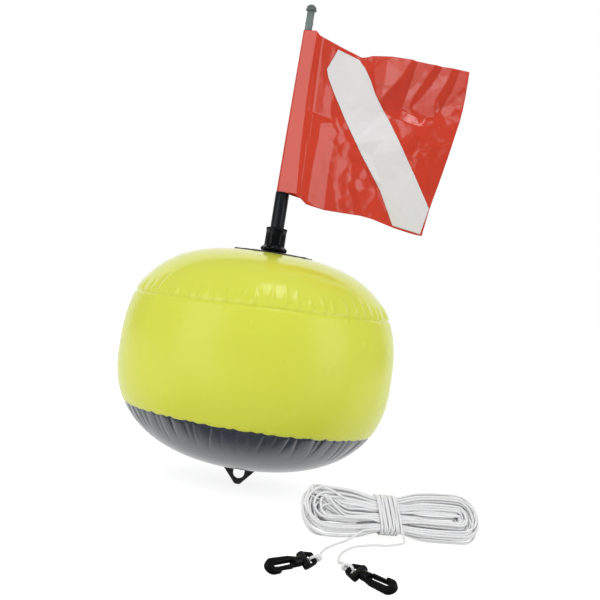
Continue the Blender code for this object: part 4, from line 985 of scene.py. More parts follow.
@dataclass
class MastSocket:
    """The moulded socket: lobed foot, lightly fluted barrel and rolled lip."""

    foot_z: float = 0.2968
    height: float = 0.0303
    foot_radius: float = 0.0152
    foot_height: float = 0.0062
    lobe: float = 0.0014
    lobes: int = 6
    barrel_radius: float = 0.0127
    bore: float = 0.0090
    flute: float = 0.00035

    def _wave(self, radius: float, z: float, angle: float) -> float:
        """Growth of the foot's lobes and the barrel's flutes."""
        if radius < self.barrel_radius - 0.001:
            return 0.0
        swing = 0.5 + 0.5 * math.cos(self.lobes * angle)
        if z < self.foot_z + self.foot_height:
            rise = (z - self.foot_z) / self.foot_height
            return self.lobe * swing ** 0.7 * (0.4 + 0.6 * math.sin(math.pi * rise / 1.2))
        return self.flute * (2 * swing - 1)

    def build(self) -> None:
        """Make and dress the socket."""
        foot, top = self.foot_z, self.foot_z + self.height
        neck = foot + self.foot_height
        profile: Profile = [(0.0, foot), (self.foot_radius - 0.0006, foot)]
        profile += [(self.foot_radius + 0.0004 * math.sin(math.pi * share),
                     foot + 0.75 * self.foot_height * share) for share in (0.1, 0.3, 0.5, 0.7, 0.9)]
        profile += [(self.foot_radius - 0.0008, neck - 0.0012), (self.barrel_radius + 0.0006, neck - 0.0002)]
        profile += [(self.barrel_radius, neck + 0.0010), (self.barrel_radius - 0.0002, top - 0.0052),
                    (self.barrel_radius + 0.0002, top - 0.0040)]
        profile += [(x, z) for x, z in arc(self.barrel_radius - 0.0012, top - 0.0016, 0.0016, 0, 90, 6)]
        profile += [(self.bore + 0.0012, top - 0.0001), (self.bore, top - 0.0010), (self.bore, foot + 0.0035),
                    (0.0, foot + 0.0035)]
        made = turned("socket_moulded", profile, 144, wave=self._wave)
        dress(made, SOCKET_MOULDING, Body.FLOAT, ["mast_socket"])


@dataclass
class Mast:
    """The two-piece mast: dark tube, bushes, grey rod and its domed cap."""

    foot_z: float = 0.3006
    tube_top_z: float = 0.3703
    tube_radius: float = 0.0087
    tube_bore: float = 0.0071
    rod_radius: float = 0.00475
    rod_bore: float = 0.00325
    rod_foot_z: float = 0.3069
    rod_top_z: float = 0.6040
    cap_radius: float = 0.0070
    cap_height: float = 0.0085
    gap: float = 0.0003

    def build(self) -> None:
        """Make and dress the mast's pieces."""
        edge = 0.0004
        tube = [(self.tube_radius, self.foot_z + edge), (self.tube_radius, self.tube_top_z - edge),
                (self.tube_radius - edge, self.tube_top_z), (self.tube_bore, self.tube_top_z),
                (self.tube_bore, self.foot_z), (self.tube_radius - edge, self.foot_z)]
        dress(turned("mast_tube", tube, 72), TUBE_DRAWN, Body.MAST, ["mast_lower"])
        flange_low, flange_high = self.tube_top_z + self.gap, self.tube_top_z + 0.0023
        bush_foot = self.tube_top_z - 0.018
        bush_bore, bush_radius = self.rod_radius + self.gap, self.tube_bore - self.gap
        bush = [(self.tube_radius, flange_low + edge), (self.tube_radius, flange_high - edge),
                (self.tube_radius - edge, flange_high), (bush_bore, flange_high), (bush_bore, bush_foot),
                (bush_radius, bush_foot), (bush_radius, flange_low), (self.tube_radius - edge, flange_low)]
        dress(turned("mast_bush", bush, 72), HOOK_MOULDING, Body.MAST, ["mast_bush_upper"])
        ring_z = self.rod_top_z - 0.0155
        rod = [(self.rod_radius, self.rod_foot_z), (self.rod_radius, ring_z - 0.0016)]
        rod += [(self.rod_radius + 0.0005 * math.sin(math.pi * share), ring_z - 0.0016 + 0.0032 * share)
                for share in (0.15, 0.35, 0.5, 0.65, 0.85)]
        rod += [(self.rod_radius, ring_z + 0.0016), (self.rod_radius, self.rod_top_z - 0.0002),
                (self.rod_radius - 0.0002, self.rod_top_z), (self.rod_bore, self.rod_top_z),
                (self.rod_bore, self.rod_foot_z)]
        dress(turned("mast_rod", rod, 64), ROD_DRAWN, Body.MAST, ["mast_upper"])
        self._cap()

    def _cap(self) -> None:
        """Make the domed cap with its rim and swirl."""
        foot = self.rod_top_z + self.gap
        stem = self.rod_bore - self.gap
        rim = 0.0020
        dome_z = foot + rim
        dome_height = self.cap_height - rim
        profile: Profile = [(0.0, foot - 0.010), (stem, foot - 0.010), (stem, foot),
                            (self.cap_radius - 0.0010, foot), (self.cap_radius - 0.0002, foot + 0.0004),
                            (self.cap_radius, foot + 0.0011), (self.cap_radius - 0.0003, foot + rim)]
        profile += [(0.0064 * math.cos(turn), dome_z + dome_height * math.sin(turn))
                    for turn in map(math.radians, range(6, 90, 6))]
        profile += [(0.0, dome_z + dome_height)]

        def swirl(radius: float, z: float, angle: float) -> float:
            """Shallow swirl on the dome."""
            if z < dome_z:
                return 0.0
            rise = (z - dome_z) / dome_height
            return 0.00022 * math.sin(3 * angle + 7 * rise) * math.sin(math.pi * min(1.0, rise))

        dress(turned("mast_cap_domed", profile, 96, wave=swirl), CAP_MOULDING, Body.MAST, ["mast_cap"])


# The flag


class Lean(Enum):
    """How a flag facet leans, named by what its gloss then shows.

    Each value holds its slopes toward the free edge and upward, and how firmly it keeps each of them.
    """

    SLEEVE = (-0.40, 0.0, 1.0, 1.0)
    LEFT_LAMP = (-0.46, 0.10, 3.0, 1.0)
    LEFT_LAMP_SOFT = (-0.39, 0.08, 3.0, 1.0)
    LEFT_LAMP_RIM = (-0.31, 0.05, 2.0, 0.7)
    RIGHT_LAMP = (0.50, 0.05, 3.0, 1.0)
    RIGHT_LAMP_SOFT = (0.43, 0.05, 3.0, 1.0)
    RIGHT_LAMP_RIM = (0.35, 0.0, 2.0, 0.7)
    TOP_LAMP = (0.0, 0.60, 0.6, 3.0)
    ROOM_LEFT = (0.10, 0.0, 0.6, 0.6)
    ROOM = (0.08, 0.0, 0.6, 0.6)
    ROOM_BACK = (0.18, -0.04, 0.6, 0.6)
    STRIPE = (-0.08, 0.0, 0.3, 0.3)


@dataclass(frozen=True)
class Facet:
    """A flat of the creased film: its corners' names in order, and how it leans."""

    corners: str
    lean: Lean


@dataclass
class CreasedFilm:
    """The flag's creased shape: flats between named corners, joined to one another with small rounds."""

    reach: float
    height: float
    base: Callable[[np.ndarray, np.ndarray], np.ndarray]
    corners: dict[str, tuple[float, float]]
    facets: Sequence[Facet]
    held: dict[str, float]
    stripe: tuple[float, float] = (0.30, 0.44)
    pull: float = 2.0
    hold: float = 1000.0
    step: float = 0.0007
    round_steps: int = 1
    margin: float = 0.026

    def __post_init__(self) -> None:
        """Work out the depths once."""
        self._depths = self._raster()

    def _elsewhere(self, x: float, z: float) -> Lean:
        """How the film leans outside the named flats, by its place in shares."""
        middle = self.stripe[0] + self.stripe[1] * (0.55 - 0.5 * z)
        if abs(x - middle - 0.12) < 0.13:
            return Lean.STRIPE
        return Lean.RIGHT_LAMP_RIM if x < middle else Lean.ROOM

    def _triangles(self) -> tuple[np.ndarray, np.ndarray, np.ndarray, dict[int, float]]:
        """Cut the film along its creases.

        Returns:
            Points in metres, each triangle's corners and wanted slopes, and the held points' depths.
        """
        names = list(self.corners)
        size = Vector((self.reach, self.height))
        given = [Vector(place) * size for place in self.corners.values()]
        low, high = Vector((-self.margin, -2 * self.margin)), size + Vector((self.margin, self.margin))
        around = [low, Vector((high.x, low.y)), high, Vector((low.x, high.y))]
        flats = [[names.index(corner) for corner in facet.corners.split()] for facet in self.facets]
        points, _, cells, sources, _, owners = delaunay_2d_cdt(given + around, [], flats, 0, 1e-6)
        slopes = []
        for cell, owner in zip(cells, owners):
            middle = sum((points[corner] for corner in cell), Vector((0, 0))) / 3
            outside = self._elsewhere(middle.x / size.x, middle.y / size.y)
            slopes.append((self.facets[owner[0]].lean if owner else outside).value)
        held = {index: self.held[names[source]] for index, found in enumerate(sources) for source in found
                if source < len(names) and names[source] in self.held}
        return np.array([tuple(point) for point in points]), np.array(cells), np.array(slopes), held

    def _solve(self, points: np.ndarray, cells: np.ndarray, slopes: np.ndarray,
               held: dict[int, float]) -> np.ndarray:
        """Find the depths that bring every flat closest to its wanted slopes.

        Args:
            points: Places, one row each.
            cells: Corners of each triangle.
            slopes: Wanted slopes of each triangle.
            held: Depths that stay, by point.

        Returns:
            The depth of each point.
        """
        count = len(points)
        matrix, wanted = np.zeros((2 * len(cells) + count + len(held), count)), []
        shares = np.zeros(count)
        for row, (cell, slope) in enumerate(zip(cells, slopes)):
            (x0, z0), (x1, z1), (x2, z2) = points[cell]
            double = (x1 - x0) * (z2 - z0) - (x2 - x0) * (z1 - z0)
            weight = math.sqrt(abs(double) / 2)
            matrix[2 * row, cell] = np.array([z1 - z2, z2 - z0, z0 - z1]) / double * weight * slope[2]
            matrix[2 * row + 1, cell] = np.array([x2 - x1, x0 - x2, x1 - x0]) / double * weight * slope[3]
            wanted += [slope[0] * weight * slope[2], slope[1] * weight * slope[3]]
            shares[cell] += abs(double) / 6
        base = self.base(points[:, 0], points[:, 1])
        for index in range(count):
            weight = self.pull * math.sqrt(shares[index])
            matrix[2 * len(cells) + index, index] = weight
            wanted.append(weight * base[index])
        for row, (index, depth) in enumerate(held.items()):
            matrix[2 * len(cells) + count + row, index] = self.hold
            wanted.append(self.hold * depth)
        return np.linalg.lstsq(matrix, np.array(wanted), rcond=None)[0]

    def _raster(self) -> np.ndarray:
        """Depths on an even grid, with the creases slightly rounded."""
        points, cells, slopes, held = self._triangles()
        depths = self._solve(points, cells, slopes, held)
        low, high = points.min(axis=0), points.max(axis=0)
        self._origin = low
        across, upward = (np.arange(low[axis], high[axis], self.step) for axis in range(2))
        x, z = np.meshgrid(across, upward)
        found = self.base(x, z)
        for cell in cells:
            (x0, z0), (x1, z1), (x2, z2) = points[cell]
            columns = np.searchsorted(across, (min(x0, x1, x2), max(x0, x1, x2)))
            rows = np.searchsorted(upward, (min(z0, z1, z2), max(z0, z1, z2)))
            part = (slice(max(rows[0] - 1, 0), rows[1] + 1), slice(max(columns[0] - 1, 0), columns[1] + 1))
            double = (x1 - x0) * (z2 - z0) - (x2 - x0) * (z1 - z0)
            second = ((x[part] - x0) * (z2 - z0) - (x2 - x0) * (z[part] - z0)) / double
            third = ((x1 - x0) * (z[part] - z0) - (x[part] - x0) * (z1 - z0)) / double
            inside = (second >= -1e-9) & (third >= -1e-9) & (second + third <= 1 + 1e-9)
            level = (depths[cell[0]] * (1 - second - third) + depths[cell[1]] * second
                     + depths[cell[2]] * third)
            found[part] = np.where(inside, level, found[part])
        for _ in range(2 * self.round_steps):
            for axis in (0, 1):
                ends = [(1, 1) if side == axis else (0, 0) for side in (0, 1)]
                wide = np.pad(found, ends, mode="edge")
                found = (np.take(wide, range(0, found.shape[axis]), axis) + 2 * found
                         + np.take(wide, range(2, found.shape[axis] + 2), axis)) / 4
        return found

    def depth(self, x: np.ndarray, z: np.ndarray) -> np.ndarray:
        """Depth of the film at places in metres; below 0 is toward the front."""
        column = np.clip((np.asarray(x) - self._origin[0]) / self.step, 0, self._depths.shape[1] - 1.001)
        row = np.clip((np.asarray(z) - self._origin[1]) / self.step, 0, self._depths.shape[0] - 1.001)
        left, foot = column.astype(int), row.astype(int)
        along, up = column - left, row - foot
        low = self._depths[foot, left] * (1 - along) + self._depths[foot, left + 1] * along
        high = self._depths[foot + 1, left] * (1 - along) + self._depths[foot + 1, left + 1] * along
        return low * (1 - up) + high * up


FLAG_CORNERS: dict[str, tuple[float, float]] = {
    "W1": (0.0, 1.05), "W2": (0.0, -0.10), "O1": (-0.06, 1.05), "O2": (-0.06, -0.10),
    "L0": (0.060, 1.05), "L1": (0.060, 0.93), "L2": (0.059, 0.74), "L3": (0.062, 0.52), "L4": (0.069, 0.27),
    "L5": (0.084, 0.04), "L6": (0.092, -0.10),
    "U0": (0.098, 1.05), "U1": (0.101, 0.94), "U2": (0.127, 0.83), "U3": (0.135, 0.72), "U4": (0.148, 0.60),
    "UR": (0.225, 1.05), "UB": (0.205, 0.92), "UC": (0.150, 0.78),
    "G1": (0.192, 0.65), "G2": (0.163, 0.44), "G3": (0.153, 0.26), "G4": (0.149, 0.14), "G5": (0.151, -0.03),
    "G6": (0.154, -0.10),
    "H1": (0.169, 0.50), "H2": (0.246, 0.515), "H3": (0.250, 0.47), "H4": (0.171, 0.45), "H6": (0.249, 0.442),
    "I1": (0.264, 0.425), "I2": (0.252, 0.245), "I3": (0.262, -0.10),
    "K1": (0.318, 0.375), "K2": (0.358, 0.357), "K3": (0.309, 0.317), "K4": (0.352, 0.294),
    "K5": (0.388, 0.244), "K6": (0.330, 0.259),
    "D1": (0.436, 0.289), "D2": (0.468, 0.24), "D3": (0.348, 0.069), "D4": (0.321, -0.055),
    "D5": (0.318, -0.10), "T2": (0.557, 0.121), "T3": (0.403, 0.109), "V1": (0.569, 0.082),
    "V2": (0.504, -0.034), "V3": (0.704, -0.106), "V4": (0.500, -0.11), "V5": (0.704, -0.15),
    "P1": (0.330, 0.885), "P2": (0.381, 0.837), "P3": (0.461, 0.7055), "P4": (0.568, 0.556),
    "P5": (0.678, 0.384),
    "A0": (0.345, 1.05), "A1": (0.380, 0.905), "A2": (0.502, 0.886), "A3": (0.427, 0.859), "R0": (0.505, 1.0),
    "R1": (0.502, 0.93), "R2": (0.654, 0.925), "R3": (0.613, 0.836), "R4": (0.504, 0.678),
    "R5": (0.538, 0.614), "R6": (0.636, 0.636), "RT": (0.66, 1.0),
    "R7": (0.680, 0.92), "R8": (0.791, 0.91), "R9": (0.704, 0.74), "R10": (0.683, 0.637), "RU": (0.69, 1.0),
    "RV": (0.80, 1.0), "R11": (0.835, 0.905), "R12": (0.780, 0.783), "R13": (0.752, 0.73),
    "R14": (0.692, 0.654), "RW": (0.84, 1.0),
    "R15": (0.896, 0.90), "R16": (0.866, 0.794), "R17": (0.831, 0.713), "R18": (0.842, 0.617),
    "R19": (0.667, 0.629), "R20": (0.725, 0.601), "R21": (0.790, 0.607), "RX": (0.90, 1.0),
    "C0": (0.95, 1.0), "C1": (0.941, 0.90), "C2": (0.916, 0.782), "C3": (0.872, 0.674), "C4": (0.802, 0.533),
    "CX": (1.10, 1.0), "CY": (1.10, 0.72), "E1": (0.935, 0.765), "E2": (1.0, 0.70), "E3": (0.99, 0.635),
    "E4": (0.900, 0.627), "EY": (1.10, 0.63), "F1": (0.881, 0.603), "F2": (0.988, 0.584), "FY": (1.10, 0.575),
    "Q1": (0.964, 0.555), "QY": (1.10, 0.53),
    "B1": (0.627, 0.564), "B2": (0.641, 0.632), "B3": (0.693, 0.543), "B4": (0.755, 0.537),
    "M1": (0.633, 0.535), "M2": (0.738, 0.495), "M3": (0.670, 0.438),
    "N1": (0.776, 0.455), "N2": (0.747, 0.358), "N3": (0.790, 0.38),
    "X1": (0.554, 0.428), "X2": (0.493, 0.315), "X3": (0.432, 0.276),
    "Y1": (0.694, 0.303), "Y2": (0.595, 0.143), "Y3": (0.563, 0.092),
}

FLAG_FACETS: tuple[Facet, ...] = (
    Facet("O2 W2 W1 O1", Lean.SLEEVE),
    Facet("W2 L6 L5 L4 L3 L2 L1 L0 W1", Lean.SLEEVE),
    Facet("L0 L1 L2 U3 U2 U1 U0", Lean.ROOM_LEFT),
    Facet("U0 U1 U2 U3 UC UB UR", Lean.RIGHT_LAMP_RIM),
    Facet("L2 L3 U4 U3", Lean.RIGHT_LAMP_SOFT),
    Facet("U3 U4 G1 UC", Lean.RIGHT_LAMP_RIM),
    Facet("L3 L4 L5 L6 G6 G5 G4 G3 G2 H4 H1 U4", Lean.ROOM_LEFT),
    Facet("U4 H1 G1", Lean.RIGHT_LAMP_SOFT),
    Facet("G1 H1 H2", Lean.RIGHT_LAMP_RIM),
    Facet("H1 H4 H3 H2", Lean.TOP_LAMP),
    Facet("H4 G2 H6 H3", Lean.ROOM_BACK),
    Facet("G2 G3 G4 G5 G6 I3 I2 I1 H6", Lean.RIGHT_LAMP),
    Facet("I1 I2 K3 K1", Lean.RIGHT_LAMP_RIM),
    Facet("I2 I3 D5 D4 D3 K6 K3", Lean.RIGHT_LAMP_RIM),
    Facet("K1 K3 K4 K2", Lean.RIGHT_LAMP),
    Facet("K3 K6 K5 K4", Lean.RIGHT_LAMP_SOFT),
    Facet("K6 D3 T3 D2 D1 K5", Lean.ROOM_LEFT),
    Facet("D3 D4 T3", Lean.RIGHT_LAMP_RIM),
    Facet("D2 T3 T2", Lean.RIGHT_LAMP_SOFT),
    Facet("T3 D4 D5 V4 V2 V1 T2", Lean.RIGHT_LAMP_RIM),
    Facet("V1 V2 V4 V5 V3", Lean.ROOM_LEFT),
    Facet("A0 A1 R1 R0", Lean.LEFT_LAMP_RIM),
    Facet("A1 A3 A2 R1", Lean.LEFT_LAMP_RIM),
    Facet("A1 P1 P2 P3 R4 A2 A3", Lean.ROOM),
    Facet("A2 R4 R3 R2 R1", Lean.LEFT_LAMP_SOFT),
    Facet("R0 R1 R2 RT", Lean.LEFT_LAMP_SOFT),
    Facet("RT R2 R7 RU", Lean.ROOM),
    Facet("R2 R3 R4 R5 R6 R7", Lean.ROOM),
    Facet("RU R7 R8 RV", Lean.LEFT_LAMP),
    Facet("R7 R6 R10 R9 R8", Lean.LEFT_LAMP),
    Facet("RV R8 R11 RW", Lean.ROOM),
    Facet("R8 R9 R10 R14 R13 R12 R11", Lean.ROOM),
    Facet("RW R11 R15 RX", Lean.LEFT_LAMP_SOFT),
    Facet("R11 R12 R13 R14 R20 R21 R18 R17 R16 R15", Lean.LEFT_LAMP_SOFT),
    Facet("RX R15 C1 C0", Lean.ROOM),
    Facet("R15 R16 R17 R18 C4 C3 C2 C1", Lean.ROOM),
    Facet("C0 C1 C2 E1 E2 CY CX", Lean.ROOM),
    Facet("C2 C3 E4 E3 E2 E1", Lean.LEFT_LAMP),
    Facet("E2 E3 EY CY", Lean.LEFT_LAMP),
    Facet("C3 C4 F1 E4", Lean.LEFT_LAMP_SOFT),
    Facet("E4 F1 F2 FY EY E3", Lean.ROOM),
    Facet("F1 C4 Q1 QY FY F2", Lean.LEFT_LAMP_SOFT),
    Facet("B2 B1 B3 B4 C4 R18 R21 R20 R19", Lean.TOP_LAMP),
    Facet("R5 P4 B1 B2 R6", Lean.LEFT_LAMP_RIM),
    Facet("P4 M1 B1", Lean.ROOM),
    Facet("M1 M3 M2 B4 B3 B1", Lean.LEFT_LAMP_RIM),
    Facet("M3 P5 N2 N1 M2", Lean.ROOM),
    Facet("N1 N2 N3", Lean.LEFT_LAMP_SOFT),
    Facet("X1 X2 X3 D2 T2 Y3 Y2 Y1 P5", Lean.STRIPE),
)


@dataclass
class DiveFlag:
    """The flying flag: creased glossy film with a sleeve round the mast and a white stripe."""

    foot_z: float = 0.3729
    sleeve_height: float = 0.2058
    reach: float = 0.2093
    sleeve_foot: float = 0.0079
    sleeve_top: float = 0.0056
    sleeve_gap: float = 0.0059
    sleeve_turn: float = 0.8
    weld_foot: float = 0.0235
    weld_top: float = 0.0185
    hem: float = 0.008
    cut: tuple[float, float] = (0.262, 0.232)
    apex: float = 0.016
    thickness: float = 0.00035
    columns: int = 185
    rows: int = 185
    free_edge: tuple = ((0.0, 0.8806), (0.16, 0.8997), (0.325, 0.9298), (0.475, 0.9546), (0.62, 0.9766),
                        (0.70, 0.990), (0.775, 0.998), (0.85, 1.0), (1.0, 0.9957))
    top_edge: tuple = ((0.0526, 1.0), (0.0788, 0.9743), (0.215, 0.9354), (0.344, 0.9043), (0.4109, 0.9291),
                       (0.5256, 0.9368), (0.645, 0.9281), (0.7644, 0.9145), (1.0033, 0.895))
    bottom_edge: tuple = ((0.0764, -0.004), (0.1094, -0.0248), (0.151, -0.0559), (0.188, -0.0617),
                          (0.264, -0.07), (0.412, -0.0666), (0.4845, -0.0641), (0.556, -0.0705),
                          (0.628, -0.0865), (0.6985, -0.1035), (0.78, -0.1176), (0.8385, -0.1249),
                          (0.882, -0.1259))
    wave_depth: float = 0.020
    wave_top_share: float = 0.35
    corner_curl: float = 0.022
    dent_size: float = 0.017
    dent_depth: float = 0.0042
    dent_patches: float = 0.45
    dent_start: float = 0.0329
    dent_ease: float = 0.012
    bead_height: float = 0.0009
    bead_width: float = 0.0012
    stripe_left: tuple = ((0.197, 0.917), (0.148, 0.784), (0.163, 0.737), (0.205, 0.664), (0.303, 0.506),
                          (0.435, 0.311), (0.5815, 0.118), (0.694, -0.091))
    stripe_right: tuple = ((0.331, 0.885), (0.381, 0.837), (0.423, 0.776), (0.461, 0.7055), (0.519, 0.624),
                           (0.568, 0.556), (0.678, 0.384), (0.786, 0.216), (0.896, 0.0476), (0.867, -0.1166))

    def __post_init__(self) -> None:
        """Crease the film, with its sleeve's face held clear of the mast."""
        held = {name: Lean.SLEEVE.value[0] * place[0] * self.reach - self.sleeve_gap
                for name, place in FLAG_CORNERS.items() if name[0] in "WOL"}
        self._creased = CreasedFilm(self.reach, self.sleeve_height, self._wave, FLAG_CORNERS, FLAG_FACETS,
                                    held)

    def _edge(self, edge: Sequence[tuple[float, float]], x: np.ndarray) -> np.ndarray:
        """Height of the top or bottom edge at a distance from the mast."""
        places, heights = zip(*edge)
        return np.interp(x / self.reach, places, heights) * self.sleeve_height

    def _reach(self, share: np.ndarray) -> np.ndarray:
        """Distance of the free edge from the mast, by its share of the height."""
        heights, reaches = zip(*self.free_edge)
        return np.interp(share, heights, reaches) * self.reach

    def _wave(self, x: np.ndarray, z: np.ndarray) -> np.ndarray:
        """Depth of the film's broad wave, without its creases."""
        share = np.clip(z / self.sleeve_height, 0, 1)
        reach = np.clip((x - self.apex) / (self._reach(share) - self.apex), 0, None)
        swell = self.wave_depth * (1 - (1 - self.wave_top_share) * share)
        wave = swell * np.sin(1.6 * math.pi * reach) * np.minimum(1, 2 * reach)
        return wave - self.corner_curl * reach ** 3 * (1 - share)

    def _dents(self, x: np.ndarray, z: np.ndarray) -> np.ndarray:
        """Depth of the small dents that a film keeps from being folded, in patches."""
        x, z = np.broadcast_arrays(x, z)
        spots = [Vector((across, up, 0.37 * self.dent_size)) / self.dent_size
                 for across, up in zip(x.flat, z.flat)]
        near = np.array([noise.voronoi(spot)[0][0] for spot in spots])
        patch = np.array([max(0.0, noise.noise(spot * self.dent_patches) + 0.25) for spot in spots])
        clear = np.clip((x - self.dent_start) / self.dent_ease, 0, 1)
        return (self.dent_depth * near * patch).reshape(x.shape) * clear

    def _bead(self, x: np.ndarray, z: np.ndarray) -> np.ndarray:
        """Depth of the rounded bead along the sleeve's weld."""
        share = np.clip(z / self.sleeve_height, 0, 1)
        weld_x = self.weld_foot + (self.weld_top - self.weld_foot) * share
        return -self.bead_height * np.exp(-((x - weld_x) / self.bead_width) ** 2)

    def depth(self, x: np.ndarray, z: np.ndarray) -> np.ndarray:
        """Depth of the film's middle; below 0 is toward the front."""
        return self._creased.depth(x, z) + self._dents(x, z) + self._bead(x, z)

    def _point_grid(self) -> np.ndarray:
        """Points of the whole sheet: from the free edge in, round the mast and back along the hem."""
        share = np.linspace(0, 1, self.rows)[:, None]
        reach = self._reach(share)
        radius = self.sleeve_foot + (self.sleeve_top - self.sleeve_foot) * share
        x = reach + (-self.sleeve_turn * radius - reach) * np.linspace(0, 1, self.columns)[None, :]
        foot, top = self._edge(self.bottom_edge, x), self._edge(self.top_edge, x)
        z = foot + (top - foot) * share
        front = np.stack([x, self.depth(x, z), z + self.foot_z], axis=2)
        levels = zip(front, share[:, 0].tolist(), radius[:, 0].tolist())
        return np.array([np.vstack([row, self._sleeve_back(row[-1], *level)]) for row, *level in levels])

    def _sleeve_back(self, start: np.ndarray, level: float, radius: float) -> np.ndarray:
        """The rest of one row: from the sleeve's face round behind the mast to the hem.

        Args:
            start: The face's last point.
            level: Share of the sleeve's height.
            radius: The sleeve's radius behind the mast.

        Returns:
            Its points.
        """
        weld_x = self.weld_foot + (self.weld_top - self.weld_foot) * level
        hem_x = np.linspace(weld_x, weld_x + self.hem, 5)
        foot, top = self._edge(self.bottom_edge, hem_x), self._edge(self.top_edge, hem_x)
        hem_z = foot + (top - foot) * level
        hem = np.stack([hem_x, self.depth(hem_x, hem_z) + 0.0011, hem_z + self.foot_z], axis=1)
        hem_away, start_away = math.hypot(*hem[0, :2]), math.hypot(*start[:2])
        touch = math.atan2(hem[0, 1], hem[0, 0]) + math.acos(radius / hem_away) - 2 * math.pi
        first = math.atan2(start[1], start[0])
        turns = np.linspace(first, touch, 34)[1:, None]
        reach = radius + (start_away - radius) * (1 - eased((first - turns) / math.radians(30)))
        around = np.hstack([reach * np.cos(turns), reach * np.sin(turns), np.full_like(turns, start[2])])
        straight = around[-1] + (hem[0] - around[-1]) * np.linspace(0, 1, 8)[1:-1, None]
        return np.vstack([around, straight, hem])

    def _film(self, name: str, points: np.ndarray, thickness: float) -> bpy.types.Object:
        """Make a thin film through a grid of points."""
        rows, columns = points.shape[:2]
        made = mesh_object(name, points.reshape(-1, 3), grid_faces(rows, columns))
        solid = made.modifiers.new("thickness", "SOLIDIFY")
        solid.thickness = thickness
        solid.offset = 0.0
        settle(made)
        return made

    def _stripe(self, side: int) -> np.ndarray:
        """Grid of the stripe on the front (-1) or back (1) of the film."""
        def walk(edge: Sequence[tuple[float, float]], count: int) -> np.ndarray:
            """Evenly spaced points along an edge."""
            line = np.array(edge) * (self.reach, self.sleeve_height)
            travelled = np.concatenate([[0], np.cumsum(np.hypot(*np.diff(line, axis=0).T))])
            places = np.linspace(0, travelled[-1], count)
            return np.stack([np.interp(places, travelled, line[:, axis]) for axis in range(2)], axis=1)

        count, wide = 190, 60
        left, right = walk(self.stripe_left, count), walk(self.stripe_right, count)
        share = np.linspace(0, 1, wide)[None, :, None]
        flat = left[:, None, :] * (1 - share) + right[:, None, :] * share
        x, z = flat[..., 0], flat[..., 1]
        step = 0.0004
        slope_x = (self.depth(x + step, z) - self.depth(x - step, z)) / (2 * step)
        slope_z = (self.depth(x, z + step) - self.depth(x, z - step)) / (2 * step)
        size = np.sqrt(slope_x ** 2 + slope_z ** 2 + 1)
        off = side * (self.thickness / 2 + 0.0001 + 0.00035)
        y = self.depth(x, z)
        off = off / size
        return np.stack([x - off * slope_x, y + off, z - off * slope_z + self.foot_z], axis=2)

    def build(self) -> None:
        """Make and dress the flag and its stripes."""
        points = self._point_grid()
        film = self._film("flag_film", points, self.thickness)
        dress(film, RED_FILM, Body.FLAG, ["flag"])
        stripes = [dress(self._film(name, self._stripe(side), 0.0002), WHITE_FILM, Body.FLAG, [node])
                   for name, side, node in (("stripe_film_front", -1, "stripe_front"),
                                            ("stripe_film_back", 1, "stripe_back"))]


# The tether tab and the valve


@dataclass
class TetherTab:
    """The moulded tab under the ball, with its D-shaped hole."""

    height: float = 0.0212
    half_angle: float = math.radians(41)
    tip_radius: float = 0.0064
    foot_flat: float = 0.0004
    thickness: float = 0.006
    hole_width: float = 0.014
    hole_wall: float = 0.0072
    hole_top: float = 0.0198

    def build(self) -> None:
        """Make and dress the tab."""
        upright = Matrix.Rotation(math.radians(90), 4, "X")
        centre = self.tip_radius - self.foot_flat
        flat = math.degrees(math.acos(centre / self.tip_radius))
        right = arc(0.0, centre, self.tip_radius, -90 + flat, -math.degrees(self.half_angle), 10)
        rise = self.height - centre + self.tip_radius * math.sin(self.half_angle)
        reach = self.tip_radius * math.cos(self.half_angle) + rise * math.tan(self.half_angle)
        outline = [(-x, z) for x, z in right[::-1]] + right + [(reach, self.height), (-reach, self.height)]
        made = plate("tether_tab_moulded", outline, self.thickness, upright)
        half = self.hole_width / 2
        corner = 0.002
        hole = arc(0.0, self.hole_wall + half, half, 180, 360, 24)
        hole += arc(half - corner, self.hole_top - corner, corner, 0, 90, 5)
        hole += arc(corner - half, self.hole_top - corner, corner, 90, 180, 5)
        carve(made, plate("tab_hole", hole, 3 * self.thickness, upright))
        soften(made, 0.0011, 3)
        dress(made, TAB_MOULDING, Body.FLOAT, ["tether_tab"])


